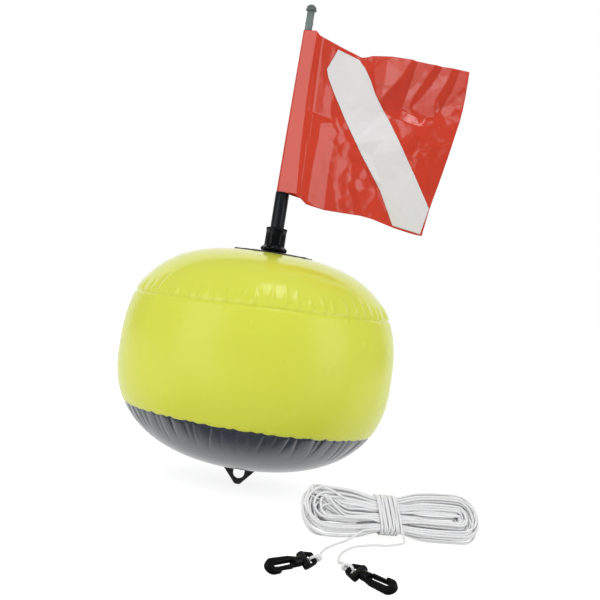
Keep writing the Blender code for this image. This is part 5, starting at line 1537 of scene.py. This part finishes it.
@dataclass
class InflationValve:
    """The stoppered valve on the back of the top panel."""

    ball: InflatableBall
    from_axis: float = 0.12195
    flange_radius: float = 0.015
    tube_radius: float = 0.0065
    bore_radius: float = 0.0042
    tube_height: float = 0.012
    inside: float = 0.004
    strap_reach: float = 0.0115
    strap_width: float = 0.004
    post_half: float = 0.0011
    post_foot: float = 0.0009
    plug_rim: float = 0.0068
    plug_depth: float = 0.0045
    flap_radius: float = 0.0056
    flap_half: float = 0.0004
    gap: float = 0.0003

    def frame(self) -> Matrix:
        """World matrix: X uphill toward the mast, Z along the panel's outward normal."""
        step = self.ball.radius / 400
        high, low = (self.ball.height_at(self.from_axis + side * step, Pole.CROWN) for side in (1, -1))
        slope = (high - low) / (2 * step)
        normal = Vector((0, -slope, 1)).normalized()
        uphill = Vector((0, -1, -slope)).normalized()
        matrix = Matrix((uphill, normal.cross(uphill), normal)).transposed().to_4x4()
        matrix.translation = (0, self.from_axis, self.ball.height_at(self.from_axis, Pole.CROWN))
        return matrix

    def build(self) -> None:
        """Make and dress the valve's three pieces."""
        frame = self.frame()
        upright = frame @ Matrix.Rotation(math.radians(90), 4, "X")
        top = self.tube_height
        profile = rounded([(self.tube_radius, top), (self.tube_radius, 0.0015), (self.flange_radius, 0.0011),
                           (self.flange_radius, -0.0001), (self.tube_radius, 0.0003),
                           (self.tube_radius, -self.inside), (self.bore_radius, -self.inside),
                           (self.bore_radius, top)], {0: 0.0006, 2: 0.0005, 7: 0.0004})
        body = turned("valve_moulded", profile, 96, frame)
        inner, outer = self.strap_reach - self.post_half, self.strap_reach + self.post_half
        post = rounded([(inner, self.post_foot), (outer, self.post_foot), (outer, top), (inner, top)],
                       {2: 0.0006, 3: 0.0006})
        carve(body, plate("valve_post", post, self.strap_width, upright), "UNION")
        dress(body, VALVE_MOULDING, Body.FLOAT, ["valve_body"])
        low, high = top + self.gap, top + 0.0025
        plug_radius, plug_foot = self.bore_radius - self.gap, low - self.plug_depth
        profile = rounded([(0.0, high), (self.plug_rim, high), (self.plug_rim, low), (plug_radius, low),
                           (plug_radius - 0.0012, plug_foot), (0.0, plug_foot)],
                          {1: 0.0008, 2: 0.0004, 4: 0.0006})
        plug = turned("valve_stopper", profile, 96, frame)
        strap = [(0.0054, low)] + arc(self.strap_reach, low + 0.0007, 0.0007, -90, 90, 8)
        strap += [(0.0054, low + 0.0014)]
        carve(plug, plate("valve_strap", strap, self.strap_width, upright), "UNION")
        dress(plug, VALVE_MOULDING, Body.PLUG, ["valve_plug"])
        half, centre = self.flap_half, -self.inside - self.gap - self.flap_half
        disc = rounded([(0.0, half), (self.flap_radius, half), (self.flap_radius, -half), (0.0, -half)],
                       {1: half / 2, 2: half / 2})
        flap = turned("valve_tongue", disc, 72, frame @ Matrix.Translation((0, 0, centre)))
        dress(flap, FLAP_MOULDING, Body.FLAP, ["valve_flap"])


# The hooks and the line


@dataclass
class SnapHook:
    """A moulded swivel snap hook: X runs from its eye to its bow, Y to its back."""

    letter: str
    eye: Vector
    direction: Vector
    lead_side: Vector
    hook_body: Body
    tongue_body: Body
    tilt: float = math.radians(46)
    thickness: float = 0.0058
    bow_x: float = 0.0480
    bow_radius: float = 0.0074
    lump_x: float = -0.0042

    def frame(self) -> Matrix:
        """World matrix of the hook."""
        along = self.direction.normalized()
        face = Vector((0, -math.sin(self.tilt), math.cos(self.tilt)))
        face = (face - face.dot(along) * along).normalized()
        matrix = Matrix((along, along.cross(face), -face)).transposed().to_4x4()
        matrix.translation = self.eye
        return matrix

    def _eye(self) -> bpy.types.Object:
        """The swivel's eye: tapered ring, collar and headed stem."""
        frame = self.frame()
        outer = rounded([(0.0, -0.0056), (0.0100, -0.0084), (0.0125, -0.0084), (0.0125, 0.0084),
                         (0.0100, 0.0084), (0.0, 0.0056)], {0: 0.0018, 1: 0.002, 4: 0.002, 5: 0.0018})
        eye = plate(f"hook_{self.letter}_swivel_eye", outer, 0.0036, frame)
        hole = rounded([(0.0032, -0.0034), (0.0084, -0.0056), (0.0084, 0.0056), (0.0032, 0.0034)],
                       {0: 0.0008, 1: 0.0008, 2: 0.0008, 3: 0.0008})
        carve(eye, plate("eye_hole", hole, 0.011, frame))
        soften(eye, 0.0011, 3)
        across = frame @ Matrix.Translation((0.0125, 0, 0)) @ Matrix.Rotation(math.radians(90), 4, "X")
        barrel = rounded([(0.0, 0.0084), (0.0036, 0.0084), (0.0036, -0.0084), (0.0, -0.0084)],
                         {1: 0.0012, 2: 0.0012})
        carve(eye, turned("eye_collar", barrel, 48, across), "UNION")
        along = frame @ Matrix.Rotation(math.radians(90), 4, "Y")
        stem = [(0.0, 0.0230), (0.0030, 0.0230), (0.0030, 0.0206), (0.0021, 0.0206), (0.0021, 0.0125),
                (0.0, 0.0125)]
        carve(eye, turned("eye_stem", stem, 48, along), "UNION")
        eye.data.set_sharp_from_angle(angle=math.radians(40))
        return eye

    def _hook(self) -> bpy.types.Object:
        """The hook: back, bow, notched nose and the boss that turns on the stem."""
        frame = self.frame()
        inner_middle, inner_radius = (0.0016 - 0.0024) / 2, (0.0016 + 0.0024) / 2
        back = [(0.0205, -0.0042), (0.0205, 0.0042), (0.0290, 0.0064)]
        bow = arc(self.bow_x, 0.0, self.bow_radius, 90, -90, 24)
        nose = [(0.0422, -self.bow_radius), (0.0410, -self.bow_radius + 0.0012), (0.0410, -0.0050),
                (0.0442, -0.0050), (0.0442, -0.0024)]
        inner = arc(0.0464, inner_middle, inner_radius, -90, 90, 12)
        root = [(0.0272, 0.0016), (0.0253, 0.0), (0.0253, -0.0021)]
        outline = (back + bow + nose + inner + root)[::-1]
        hook = plate(f"hook_{self.letter}_bow", outline, self.thickness, frame)
        soften(hook, 0.0013, 3)
        along = frame @ Matrix.Rotation(math.radians(90), 4, "Y")
        boss = rounded([(0.0, 0.0256), (0.0048, 0.0256), (0.0048, 0.0166), (0.0, 0.0166)],
                       {1: 0.0014, 2: 0.0008})
        carve(hook, turned("hook_boss", boss, 56, along), "UNION")
        bore = [(0.0, 0.0233), (0.0033, 0.0233), (0.0033, 0.0203), (0.0024, 0.0203), (0.0024, 0.0118),
                (0.0, 0.0118)]
        carve(hook, turned("hook_bore", bore, 48, along))
        hook.data.set_sharp_from_angle(angle=math.radians(40))
        return hook

    def _tongue(self) -> bpy.types.Object:
        """The springy tongue that closes the hook."""
        outline = [(0.0432, -0.0047), (0.0439, -0.0040), (0.0439, -0.0027)]
        outline += arc(0.0273, -0.0037, 0.00135, 90, 270, 12)
        tongue = plate(f"hook_{self.letter}_spring", outline, 0.0052, self.frame())
        soften(tongue, 0.0004, 2)
        return tongue

    def build(self) -> list[bpy.types.Object]:
        """Make and dress the hook.

        Returns:
            Its pieces.
        """
        eye = dress(self._eye(), HOOK_MOULDING, Body.LINE, [f"hook_{self.letter}_eye"])
        hook = dress(self._hook(), HOOK_MOULDING, self.hook_body, [f"hook_{self.letter}_body"])
        tongue = dress(self._tongue(), HOOK_MOULDING, self.tongue_body, [f"hook_{self.letter}_tongue"])
        return [eye, hook, tongue]

    def knot_route(self) -> np.ndarray:
        """The line's end here: a loop round the eye's bar and turns round itself, from its tail out."""
        frame = self.frame()
        points = []
        for step in range(22):
            turn = 2 * math.pi * step / 8
            x = self.lump_x - 0.0022 + 0.0001 * step
            points.append(Vector((x, 0.0026 * math.cos(turn), 0.0026 * math.sin(turn))))
        for step in range(9):
            turn = math.radians(200 + 320 * step / 8)
            x, z = 0.0016 + 0.0044 * math.cos(turn), 0.0044 * math.sin(turn)
            points.append(Vector((x, -0.0016 + 0.0004 * step, z)))
        points.append(Vector((self.lump_x, 0.0002, 0.0)))
        out = self.lead_side.normalized()
        world = [frame @ point for point in points]
        lump = frame @ Vector((self.lump_x, 0, 0))
        world.append(lump + out * 0.0042)
        world.append(lump + out * 0.0075)
        return np.array([tuple(point) for point in world])


@dataclass
class HankedLine:
    """The line: one cord from hook to hook, looped into a hank and bound round its waist."""

    hooks: tuple[SnapHook, SnapHook]
    diameter: float = 0.0026
    tilt: float = math.radians(52)
    yaw: float = math.radians(24)
    centre: tuple[float, float, float] = (0.1791, -0.1893, 0.02429)
    layers: int = 5
    loops: int = 7
    spacing: float = 0.0024
    arc_centre: float = 0.0843
    waist_x: float = -0.008
    waist_half: float = 0.015
    lobe_places: tuple[tuple[float, float], ...] = ((-0.062, -0.045), (0.030, 0.055))
    lobe_ease: float = 0.034
    wander: float = 0.0009
    depth_wander: float = 0.0010
    end_wander: float = 0.0032
    hop: float = 1.3
    hop_rise: float = 0.0012
    inner_spread: float = 0.0030
    loop_step: float = 0.00320
    waist_inner: float = 0.0014
    waist_step: float = 0.00255
    layer_step: float = 0.0028
    waist_layer_step: float = 0.0023
    ragged: float = 0.009
    strays: int = 5
    stray_first: int = 4
    stray_spread: float = 0.0036
    stray_step: float = 0.0011
    stray_ragged: float = 0.004
    stray_rise: float = 0.0185
    stray_reach: float = 0.0105
    layer_shift: float = 0.0022
    wraps: int = 9
    wrap_step: float = 0.00285
    lead_a: tuple = ((0.1313, -0.2455, 0.0), (0.1174, -0.2765, 0.0), (0.1087, -0.2980, 0.0),
                     (0.1021, -0.3234, 0.0), (0.0985, -0.3500, 0.0010), (0.0962, -0.3810, 0.0070))
    lead_b: tuple = ((0.1935, -0.2165, 0.0004), (0.1881, -0.2265, 0.0), (0.1736, -0.2441, 0.0),
                     (0.1603, -0.2516, 0.0), (0.1426, -0.2680, 0.0), (0.1314, -0.2870, 0.0),
                     (0.1222, -0.3139, 0.0), (0.1178, -0.3425, 0.0), (0.1176, -0.3640, 0.0010),
                     (0.1187, -0.3860, 0.0070))
    floor_clearance: float = 0.0008
    relax_rounds: int = 40

    def frame(self) -> Matrix:
        """World matrix: X along the hank, Y across its loops, Z through its layers to the front."""
        along = Vector((math.cos(self.yaw), math.sin(self.yaw), 0))
        level = Vector((-math.sin(self.yaw), math.cos(self.yaw), 0))
        across = level * math.cos(self.tilt) + Vector((0, 0, math.sin(self.tilt)))
        matrix = Matrix((along, across, along.cross(across))).transposed().to_4x4()
        matrix.translation = self.centre
        return matrix

    def _loops(self) -> np.ndarray:
        """Route of the loops in the hank's frame, with the small differences of a hand-made hank."""
        random = np.random.default_rng(21)
        total = self.layers * self.loops
        phases = random.uniform(0, 2 * math.pi, 8)
        hops = random.uniform(-1, 1, (total + 1, 5))
        stray = [self.stray_first <= turn < self.stray_first + self.strays for turn in range(total + 1)]

        def drift(turn: float, which: int, pace: float) -> float:
            """Smooth wander from -1 to 1."""
            slow, fast = pace * turn + phases[which], 1.9 * pace * turn + phases[-1 - which]
            return 0.6 * math.sin(slow) + 0.4 * math.sin(fast)

        stations: list[tuple[float, Optional[float], int]] = []
        left, right = self.waist_x - self.waist_half, self.waist_x + self.waist_half
        (back_far, back_near), (near, far) = self.lobe_places
        stations += [(self.waist_x, None, -1), (right, None, -1), (near, None, -1), (far, None, -1)]
        stations += [(self.arc_centre, angle, 1) for angle in range(-90, 91, 22)]
        stations += [(far, None, 1), (near, None, 1), (right, None, 1), (self.waist_x, None, 1),
                     (left, None, 1), (back_near, None, 1), (back_far, None, 1)]
        stations += [(-self.arc_centre, angle, 1) for angle in range(90, 271, 22)]
        stations += [(back_far, None, -1), (back_near, None, -1), (left, None, -1)]
        count = len(stations)
        points = []
        for index in range(total * count):
            turn = index / count
            x, angle, side = stations[index % count]
            whole, share = divmod(turn, 1.0)
            hop = hops[int(whole)] + (hops[int(whole) + 1] - hops[int(whole)]) * share
            from_inner = abs(turn % (2 * self.loops) - self.loops) + self.hop * hop[0]
            from_inner = min(float(self.loops), max(0.0, from_inner))
            layer = min(self.layers - 1.0, max(0.0, turn / self.loops - 0.5))
            layer = round(layer) + max(-0.5, min(0.5, (layer - round(layer)) * 1.0)) ** 3 * 4
            opened = self._opened(x)
            spread_lobe = self.inner_spread + self.loop_step * from_inner
            spread_waist = self.waist_inner + self.waist_step * from_inner
            spread = spread_waist + (spread_lobe - spread_waist) * opened
            spread += opened * self.wander * drift(turn, 0, 1.7)
            step = self.waist_layer_step + (self.layer_step - self.waist_layer_step) * opened
            depth = ((self.layers - 1) / 2 - layer) * step + opened * self.depth_wander * drift(turn, 1, 2.3)
            shift = self.layer_shift * opened * math.cos(math.pi * round(layer))
            if angle is None:
                point = (x, side * spread + shift, depth)
            else:
                end = self.end_wander * drift(turn, 2 if x > 0 else 3, 2.9)
                turned_by = math.radians(angle)
                lifted = self.hop_rise * hop[1 if x > 0 else 2]
                end -= self.ragged * (0.5 + 0.5 * hop[3 if x > 0 else 4]) * (1 - from_inner / self.loops)
                if x < 0 and stray[int(turn)]:
                    spread = self.stray_spread + self.stray_step * (int(turn) - self.stray_first)
                    lifted += self.stray_rise
                    end = self.stray_reach + self.stray_ragged * hop[4]
                reach = spread + end * abs(math.cos(turned_by))
                across = shift + lifted + spread * math.sin(turned_by)
                point = (x + reach * math.cos(turned_by), across, depth)
            points.append(point)
        return np.array(points)

    def _opened(self, x: float) -> float:
        """How far the loops are spread at a place along the hank: 0 under the wraps, 1 in the lobes."""
        distance = (abs(x - self.waist_x) - self.waist_half) / self.lobe_ease
        return float(eased(np.array(distance)))

    def _wrap_section(self) -> Outline:
        """One turn round the waist in (y, z), from the lower back corner up the back."""
        across = self.waist_inner + self.waist_step * self.loops + self.diameter * 0.98
        through = self.waist_layer_step * (self.layers - 1) / 2 + self.diameter * 0.98
        corner = 0.0056
        flat_y, flat_z = across - corner, through - corner
        section = [(-flat_y, -through), (0.0, -through - 0.0004), (flat_y, -through)]
        section += arc(flat_y, -flat_z, corner, -60, 0, 2) + arc(flat_y, flat_z, corner, 0, 60, 2)
        section += [(flat_y, through), (0.0, through + 0.0004), (-flat_y, through)]
        section += arc(-flat_y, flat_z, corner, 120, 180, 2) + arc(-flat_y, -flat_z, corner, 180, 240, 2)
        return section

    def _wraps(self) -> np.ndarray:
        """Route of the wraps in the hank's frame."""
        section = self._wrap_section()
        count = len(section)
        first = self.waist_x - self.wraps * self.wrap_step / 2
        front = section.index(min(section, key=lambda point: (-point[1], point[0])))
        points = []
        for index in range((self.wraps - 1) * count + front + 2):
            y, z = section[index % count]
            wobble = 0.0005 * math.sin(0.9 * index)
            points.append((first + self.wrap_step * index / count + wobble, y, z))
        return np.array(points)

    def _relax(self, points: np.ndarray, fixed: np.ndarray) -> np.ndarray:
        """Push touching stretches apart until they lie side by side.

        Args:
            points: The route in the world.
            fixed: Which points stay.

        Returns:
            The settled route.
        """
        points = points.copy()
        rest = np.linalg.norm(np.diff(points, axis=0), axis=1)
        near = self.diameter * 0.97
        floor = self.diameter / 2 + 0.0003
        for _ in range(self.relax_rounds):
            tree = KDTree(len(points))
            for index, point in enumerate(points):
                tree.insert(point, index)
            tree.balance()
            push = np.zeros_like(points)
            met = np.zeros(len(points))
            for index, point in enumerate(points):
                for other_point, other, distance in tree.find_range(point, near):
                    if abs(index - other) > 5 and distance > 1e-9:
                        push[index] += (point - np.array(other_point)) / distance * (near - distance) * 0.5
                        met[index] += 1
            points += np.where(fixed[:, None], 0, push / np.maximum(1, met * 0.6)[:, None])
            smooth = (points[:-2] + points[2:]) / 2 - points[1:-1]
            points[1:-1] += np.where(fixed[1:-1, None], 0, 0.12 * smooth)
            step = np.diff(points, axis=0)
            size = np.linalg.norm(step, axis=1)
            move = (step * ((size - rest) / np.maximum(size, 1e-9))[:, None]) * 0.4
            points[:-1] += np.where(fixed[:-1, None], 0, move)
            points[1:] -= np.where(fixed[1:, None], 0, move)
            points[:, 2] = np.where(fixed, points[:, 2], np.maximum(points[:, 2], floor))
        return points

    def _floor(self, route: Sequence[tuple[float, float, float]]) -> np.ndarray:
        """A lead's given points in the world."""
        level = self.diameter / 2 + self.floor_clearance
        return np.array([(x, y, level + lift) for x, y, lift in route])

    def route(self) -> np.ndarray:
        """The whole line's centre, from the first hook's knot to the second's."""
        matrix = self.frame()
        turn = np.array(matrix.to_3x3())
        shift = np.array(matrix.translation)

        def world(points: np.ndarray) -> np.ndarray:
            """Hank coordinates to the world."""
            return points @ turn.T + shift

        loops = self._loops()
        wraps = self._wraps()
        outer = self.waist_inner + self.waist_step * self.loops
        begin = np.array([(-0.0430, -0.0229, 0.0066), (-0.0370, -0.0222, 0.0062),
                          (-0.0300, -outer - 0.0014, 0.0056)])
        bridge = np.array([(-0.0300, -outer + 0.002, -0.0076), (-0.0255, -outer + 0.003, -0.0080)])
        out = np.array([(wraps[-1][0], -outer - 0.0030, 0.0068),
                        (wraps[-1][0] + 0.0002, -outer - 0.0058, 0.0072)])
        start_knot, end_knot = (hook.knot_route() for hook in self.hooks)
        first_lead, second_lead = self._floor(self.lead_a), self._floor(self.lead_b)
        bundle = spline(world(np.vstack([begin, loops, bridge])), self.spacing)
        binding = spline(world(np.vstack([wraps, out])), self.spacing)
        before = spline(np.vstack([start_knot, first_lead[::-1], bundle[:1]]), self.spacing)
        after = spline(np.vstack([binding[-1:], second_lead, end_knot[::-1]]), self.spacing)
        parts = [before[:-1], bundle, binding, after[1:]]
        fixed = np.concatenate([np.ones(len(parts[0]), bool), np.zeros(len(parts[1]), bool),
                                np.ones(len(parts[2]), bool), np.ones(len(parts[3]), bool)])
        whole = self._relax(np.vstack(parts), fixed)
        return spline(whole, self.spacing * 0.9, 4)

    def build(self) -> None:
        pieces = [piece for hook in self.hooks for piece in hook.build()]
        route = self.route()
        line = braided_tube("line", route, self.diameter / 2, 10)
        nodes = ["line_hank", "line_wraps", "line_lead_a", "line_lead_b", "knot_a", "knot_b"]
        dress(line, LINE_BRAID, Body.LINE, nodes)
        LOG.info("line: %.2f m, %d points", length_of(route), len(route))


def braided_tube(name: str, centre: np.ndarray, radius: float, sides: int) -> bpy.types.Object:
    """Make a round tube along a line, with the braid's coordinates on its points.

    Args:
        name: The piece's name.
        centre: The centre line.
        radius: The tube's radius.
        sides: Points round it.

    Returns:
        The object.
    """
    tangent = np.gradient(centre, axis=0)
    tangent /= np.linalg.norm(tangent, axis=1, keepdims=True)
    across = np.cross(tangent[0], (0.0, 0.0, 1.0))
    across /= np.linalg.norm(across)
    travelled = np.concatenate([[0.0], np.cumsum(np.linalg.norm(np.diff(centre, axis=0), axis=1))])
    turns = 2 * math.pi * np.arange(sides) / sides
    rings, marks = [], []
    for index, (point, forward) in enumerate(zip(centre, tangent)):
        across = across - forward * across.dot(forward)
        across /= np.linalg.norm(across)
        up = np.cross(forward, across)
        rings.append(point + radius * (np.cos(turns)[:, None] * across + np.sin(turns)[:, None] * up))
        marks.append(np.stack([np.full(sides, travelled[index]), np.cos(turns), np.sin(turns)], axis=1))
    vertices = np.vstack(rings)
    faces: list[Sequence[int]] = list(grid_faces(len(centre), sides, closed=True))
    last = (len(centre) - 1) * sides
    faces += [tuple(range(sides))[::-1], tuple(range(last, last + sides))]
    data = bpy.data.meshes.new(name)
    data.from_pydata(vertices.tolist(), [], [list(face) for face in faces])
    mark = data.attributes.new("braid", "FLOAT_VECTOR", "POINT")
    mark.data.foreach_set("vector", np.vstack(marks).astype(np.float32).ravel())
    data.shade_smooth()
    made = bpy.data.objects.new(name, data)
    bpy.context.scene.collection.objects.link(made)
    return made


# The studio


@dataclass
class Studio:
    """Camera, white surround and plain soft lamps."""

    eye: tuple[float, float, float] = (0.0427, -1.42, 0.2417)
    focal_pixels: float = 1123.7
    image_size: int = 600
    sensor: float = 36.0
    roll: float = math.radians(8.93)
    paper: float = 0.86
    mirrored_glow: float = 0.85
    mirrored_paper: float = 0.25
    room: float = 0.70
    mirrored_room: float = 0.25
    # Where the painted shadow on the floor, seen only in reflections, fades out: along Y toward the front and
    # along X toward the left.
    painted_shadow_front: tuple[float, float] = (-0.17, -0.08)
    painted_shadow_left: tuple[float, float] = (-0.30, -0.20)

    def _camera(self) -> None:
        """Place the camera at the picture's angle."""
        data = bpy.data.cameras.new("camera")
        data.sensor_width = self.sensor
        data.sensor_fit = "HORIZONTAL"
        data.lens = self.sensor * self.focal_pixels / self.image_size
        data.clip_start = 0.05
        data.clip_end = 60.0
        camera = bpy.data.objects.new("camera", data)
        right = Vector((math.cos(self.roll), 0, math.sin(self.roll)))
        up = Vector((-math.sin(self.roll), 0, math.cos(self.roll)))
        matrix = Matrix((right, up, Vector((0, -1, 0)))).transposed().to_4x4()
        matrix.translation = self.eye
        camera.matrix_world = matrix
        bpy.context.scene.collection.objects.link(camera)
        bpy.context.scene.camera = camera

    def _surround_material(self, name: str, glow: float, lit: float) -> bpy.types.Material:
        """White to the camera, with the object's shadow kept; lit like paper in reflections, where it also
        glows except for a painted shadow: the floor in front of the ball, apart from its left side, does not
        glow.

        Args:
            name: The material's name.
            glow: Light that it gives off to the camera.
            lit: Share of the light on it that the camera sees as well.

        Returns:
            The material.
        """
        tree = FinishTree(name)
        path = tree.node("ShaderNodeLightPath")
        camera, glossy, through = (Signal(tree, path.outputs[kind])
                                   for kind in ("Is Camera Ray", "Is Glossy Ray", "Is Transmission Ray"))
        seen = camera.larger(through)
        parts = tree.node("ShaderNodeSeparateXYZ", {}, {0: tree.place})
        across, back = (Signal(tree, parts.outputs[axis]) for axis in range(2))
        # Painted shadow in reflections: the floor's glow fades out toward the front of the ball, except to
        # its left, standing in for the ball's own shadow and an unlit front floor.
        outside_painted_shadow = back.between(*self.painted_shadow_front).larger(across.between(*self.painted_shadow_left, 1.0, 0.0))
        strength = seen * glow + glossy * outside_painted_shadow * self.mirrored_glow
        shade = self.paper + seen * (lit - self.paper) + glossy * (self.mirrored_paper - self.paper)
        shining = tree.node("ShaderNodeEmission", {}, {"Color": (1.0, 1.0, 1.0), "Strength": strength})
        paper = tree.node("ShaderNodeBsdfDiffuse", {}, {"Color": shade})
        whole = tree.node("ShaderNodeAddShader", {}, {0: shining.outputs[0], 1: paper.outputs[0]})
        tree.node("ShaderNodeOutputMaterial", {}, {"Surface": whole.outputs[0]})
        return tree.material

    def _surround(self) -> None:
        """Lay the floor and hang the backdrop."""
        for name, points, glow, lit in (
            ("floor", [(-9, -9, 0), (9, -9, 0), (9, 9, 0), (-9, 9, 0)], 0.84, 0.40),
            ("backdrop", [(-9, 9, 0), (9, 9, 0), (9, 9, 9), (-9, 9, 9)], 1.0, 0.0),
        ):
            sheet = mesh_object(name, points, [(0, 1, 2, 3)])
            sheet.data.materials.append(self._surround_material(name, glow, lit))

    def _lamp(self, name: str, place: tuple[float, float, float], aim: tuple[float, float, float],
              size: tuple[float, float], power: float) -> None:
        """Hang one soft rectangular lamp.

        Args:
            name: The lamp's name.
            place: Its position.
            aim: The point that it faces.
            size: Width and height.
            power: Watts.
        """
        data = bpy.data.lights.new(name, "AREA")
        data.shape = "RECTANGLE"
        data.size, data.size_y = size
        data.energy = power
        lamp = bpy.data.objects.new(name, data)
        lamp.location = place
        lamp.rotation_euler = (Vector(aim) - Vector(place)).to_track_quat("-Z", "Y").to_euler()
        bpy.context.scene.collection.objects.link(lamp)

    def _world(self) -> None:
        """Plain soft light from all round, with a white background and a darker room in reflections."""
        tree = FinishTree("world", world=True)
        path = tree.node("ShaderNodeLightPath")
        camera, glossy = (Signal(tree, path.outputs[kind]) for kind in ("Is Camera Ray", "Is Glossy Ray"))
        strength = self.room + camera * (1.0 - self.room) + glossy * (self.mirrored_room - self.room)
        sky = tree.node("ShaderNodeBackground", {}, {"Color": (1.0, 1.0, 1.0), "Strength": strength})
        tree.node("ShaderNodeOutputWorld", {}, {"Surface": sky.outputs[0]})
        bpy.context.scene.world = tree.material

    def build(self) -> None:
        """Set up the camera, surround, lamps and colour view."""
        self._camera()
        self._surround()
        self._world()
        aim = (0.0, -0.1, 0.28)
        self._lamp("left_softbox", (-1.45, -1.3, 0.95), aim, (1.3, 2.0), 13.0)
        self._lamp("right_softbox", (1.65, -0.9, 0.85), aim, (1.0, 1.6), 8.0)
        self._lamp("top_softbox", (0.18, -0.47, 1.80), (0.05, -0.12, 0.26), (0.45, 0.62), 3.3)
        bpy.context.scene.view_settings.view_transform = "Standard"


def make_hooks() -> tuple[SnapHook, SnapHook]:
    """The two snap hooks in their places."""
    first = SnapHook("a", Vector((0.0916, -0.4035, 0.0128)), Vector((-0.76, -0.64, -0.116)),
                     Vector((0.20, 0.97, 0.05)), Body.HOOK_A, Body.TONGUE_A)
    second = SnapHook("b", Vector((0.1231, -0.4160, 0.0113)), Vector((0.71, -0.70, -0.050)),
                      Vector((-0.10, 0.99, 0.05)), Body.HOOK_B, Body.TONGUE_B)
    return first, second


def main() -> None:
    """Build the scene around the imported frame."""
    logging.basicConfig(level=logging.INFO, format="%(name)s %(message)s")
    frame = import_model()
    Studio().build()
    HankedLine(make_hooks()).build()
    ball = InflatableBall()
    ball.build()
    ReinforcingPatch("crown_patch", "socket_patch", 0.050, Pole.CROWN, ball).build()
    ReinforcingPatch("keel_patch", "tether_patch", 0.030, Pole.KEEL, ball).build()
    MastSocket().build()
    Mast().build()
    DiveFlag().build()
    TetherTab().build()
    InflationValve(ball).build()
    finish_node(frame, "mast_bush_lower", HOOK_MOULDING)


if __name__ == "__main__":
    main()
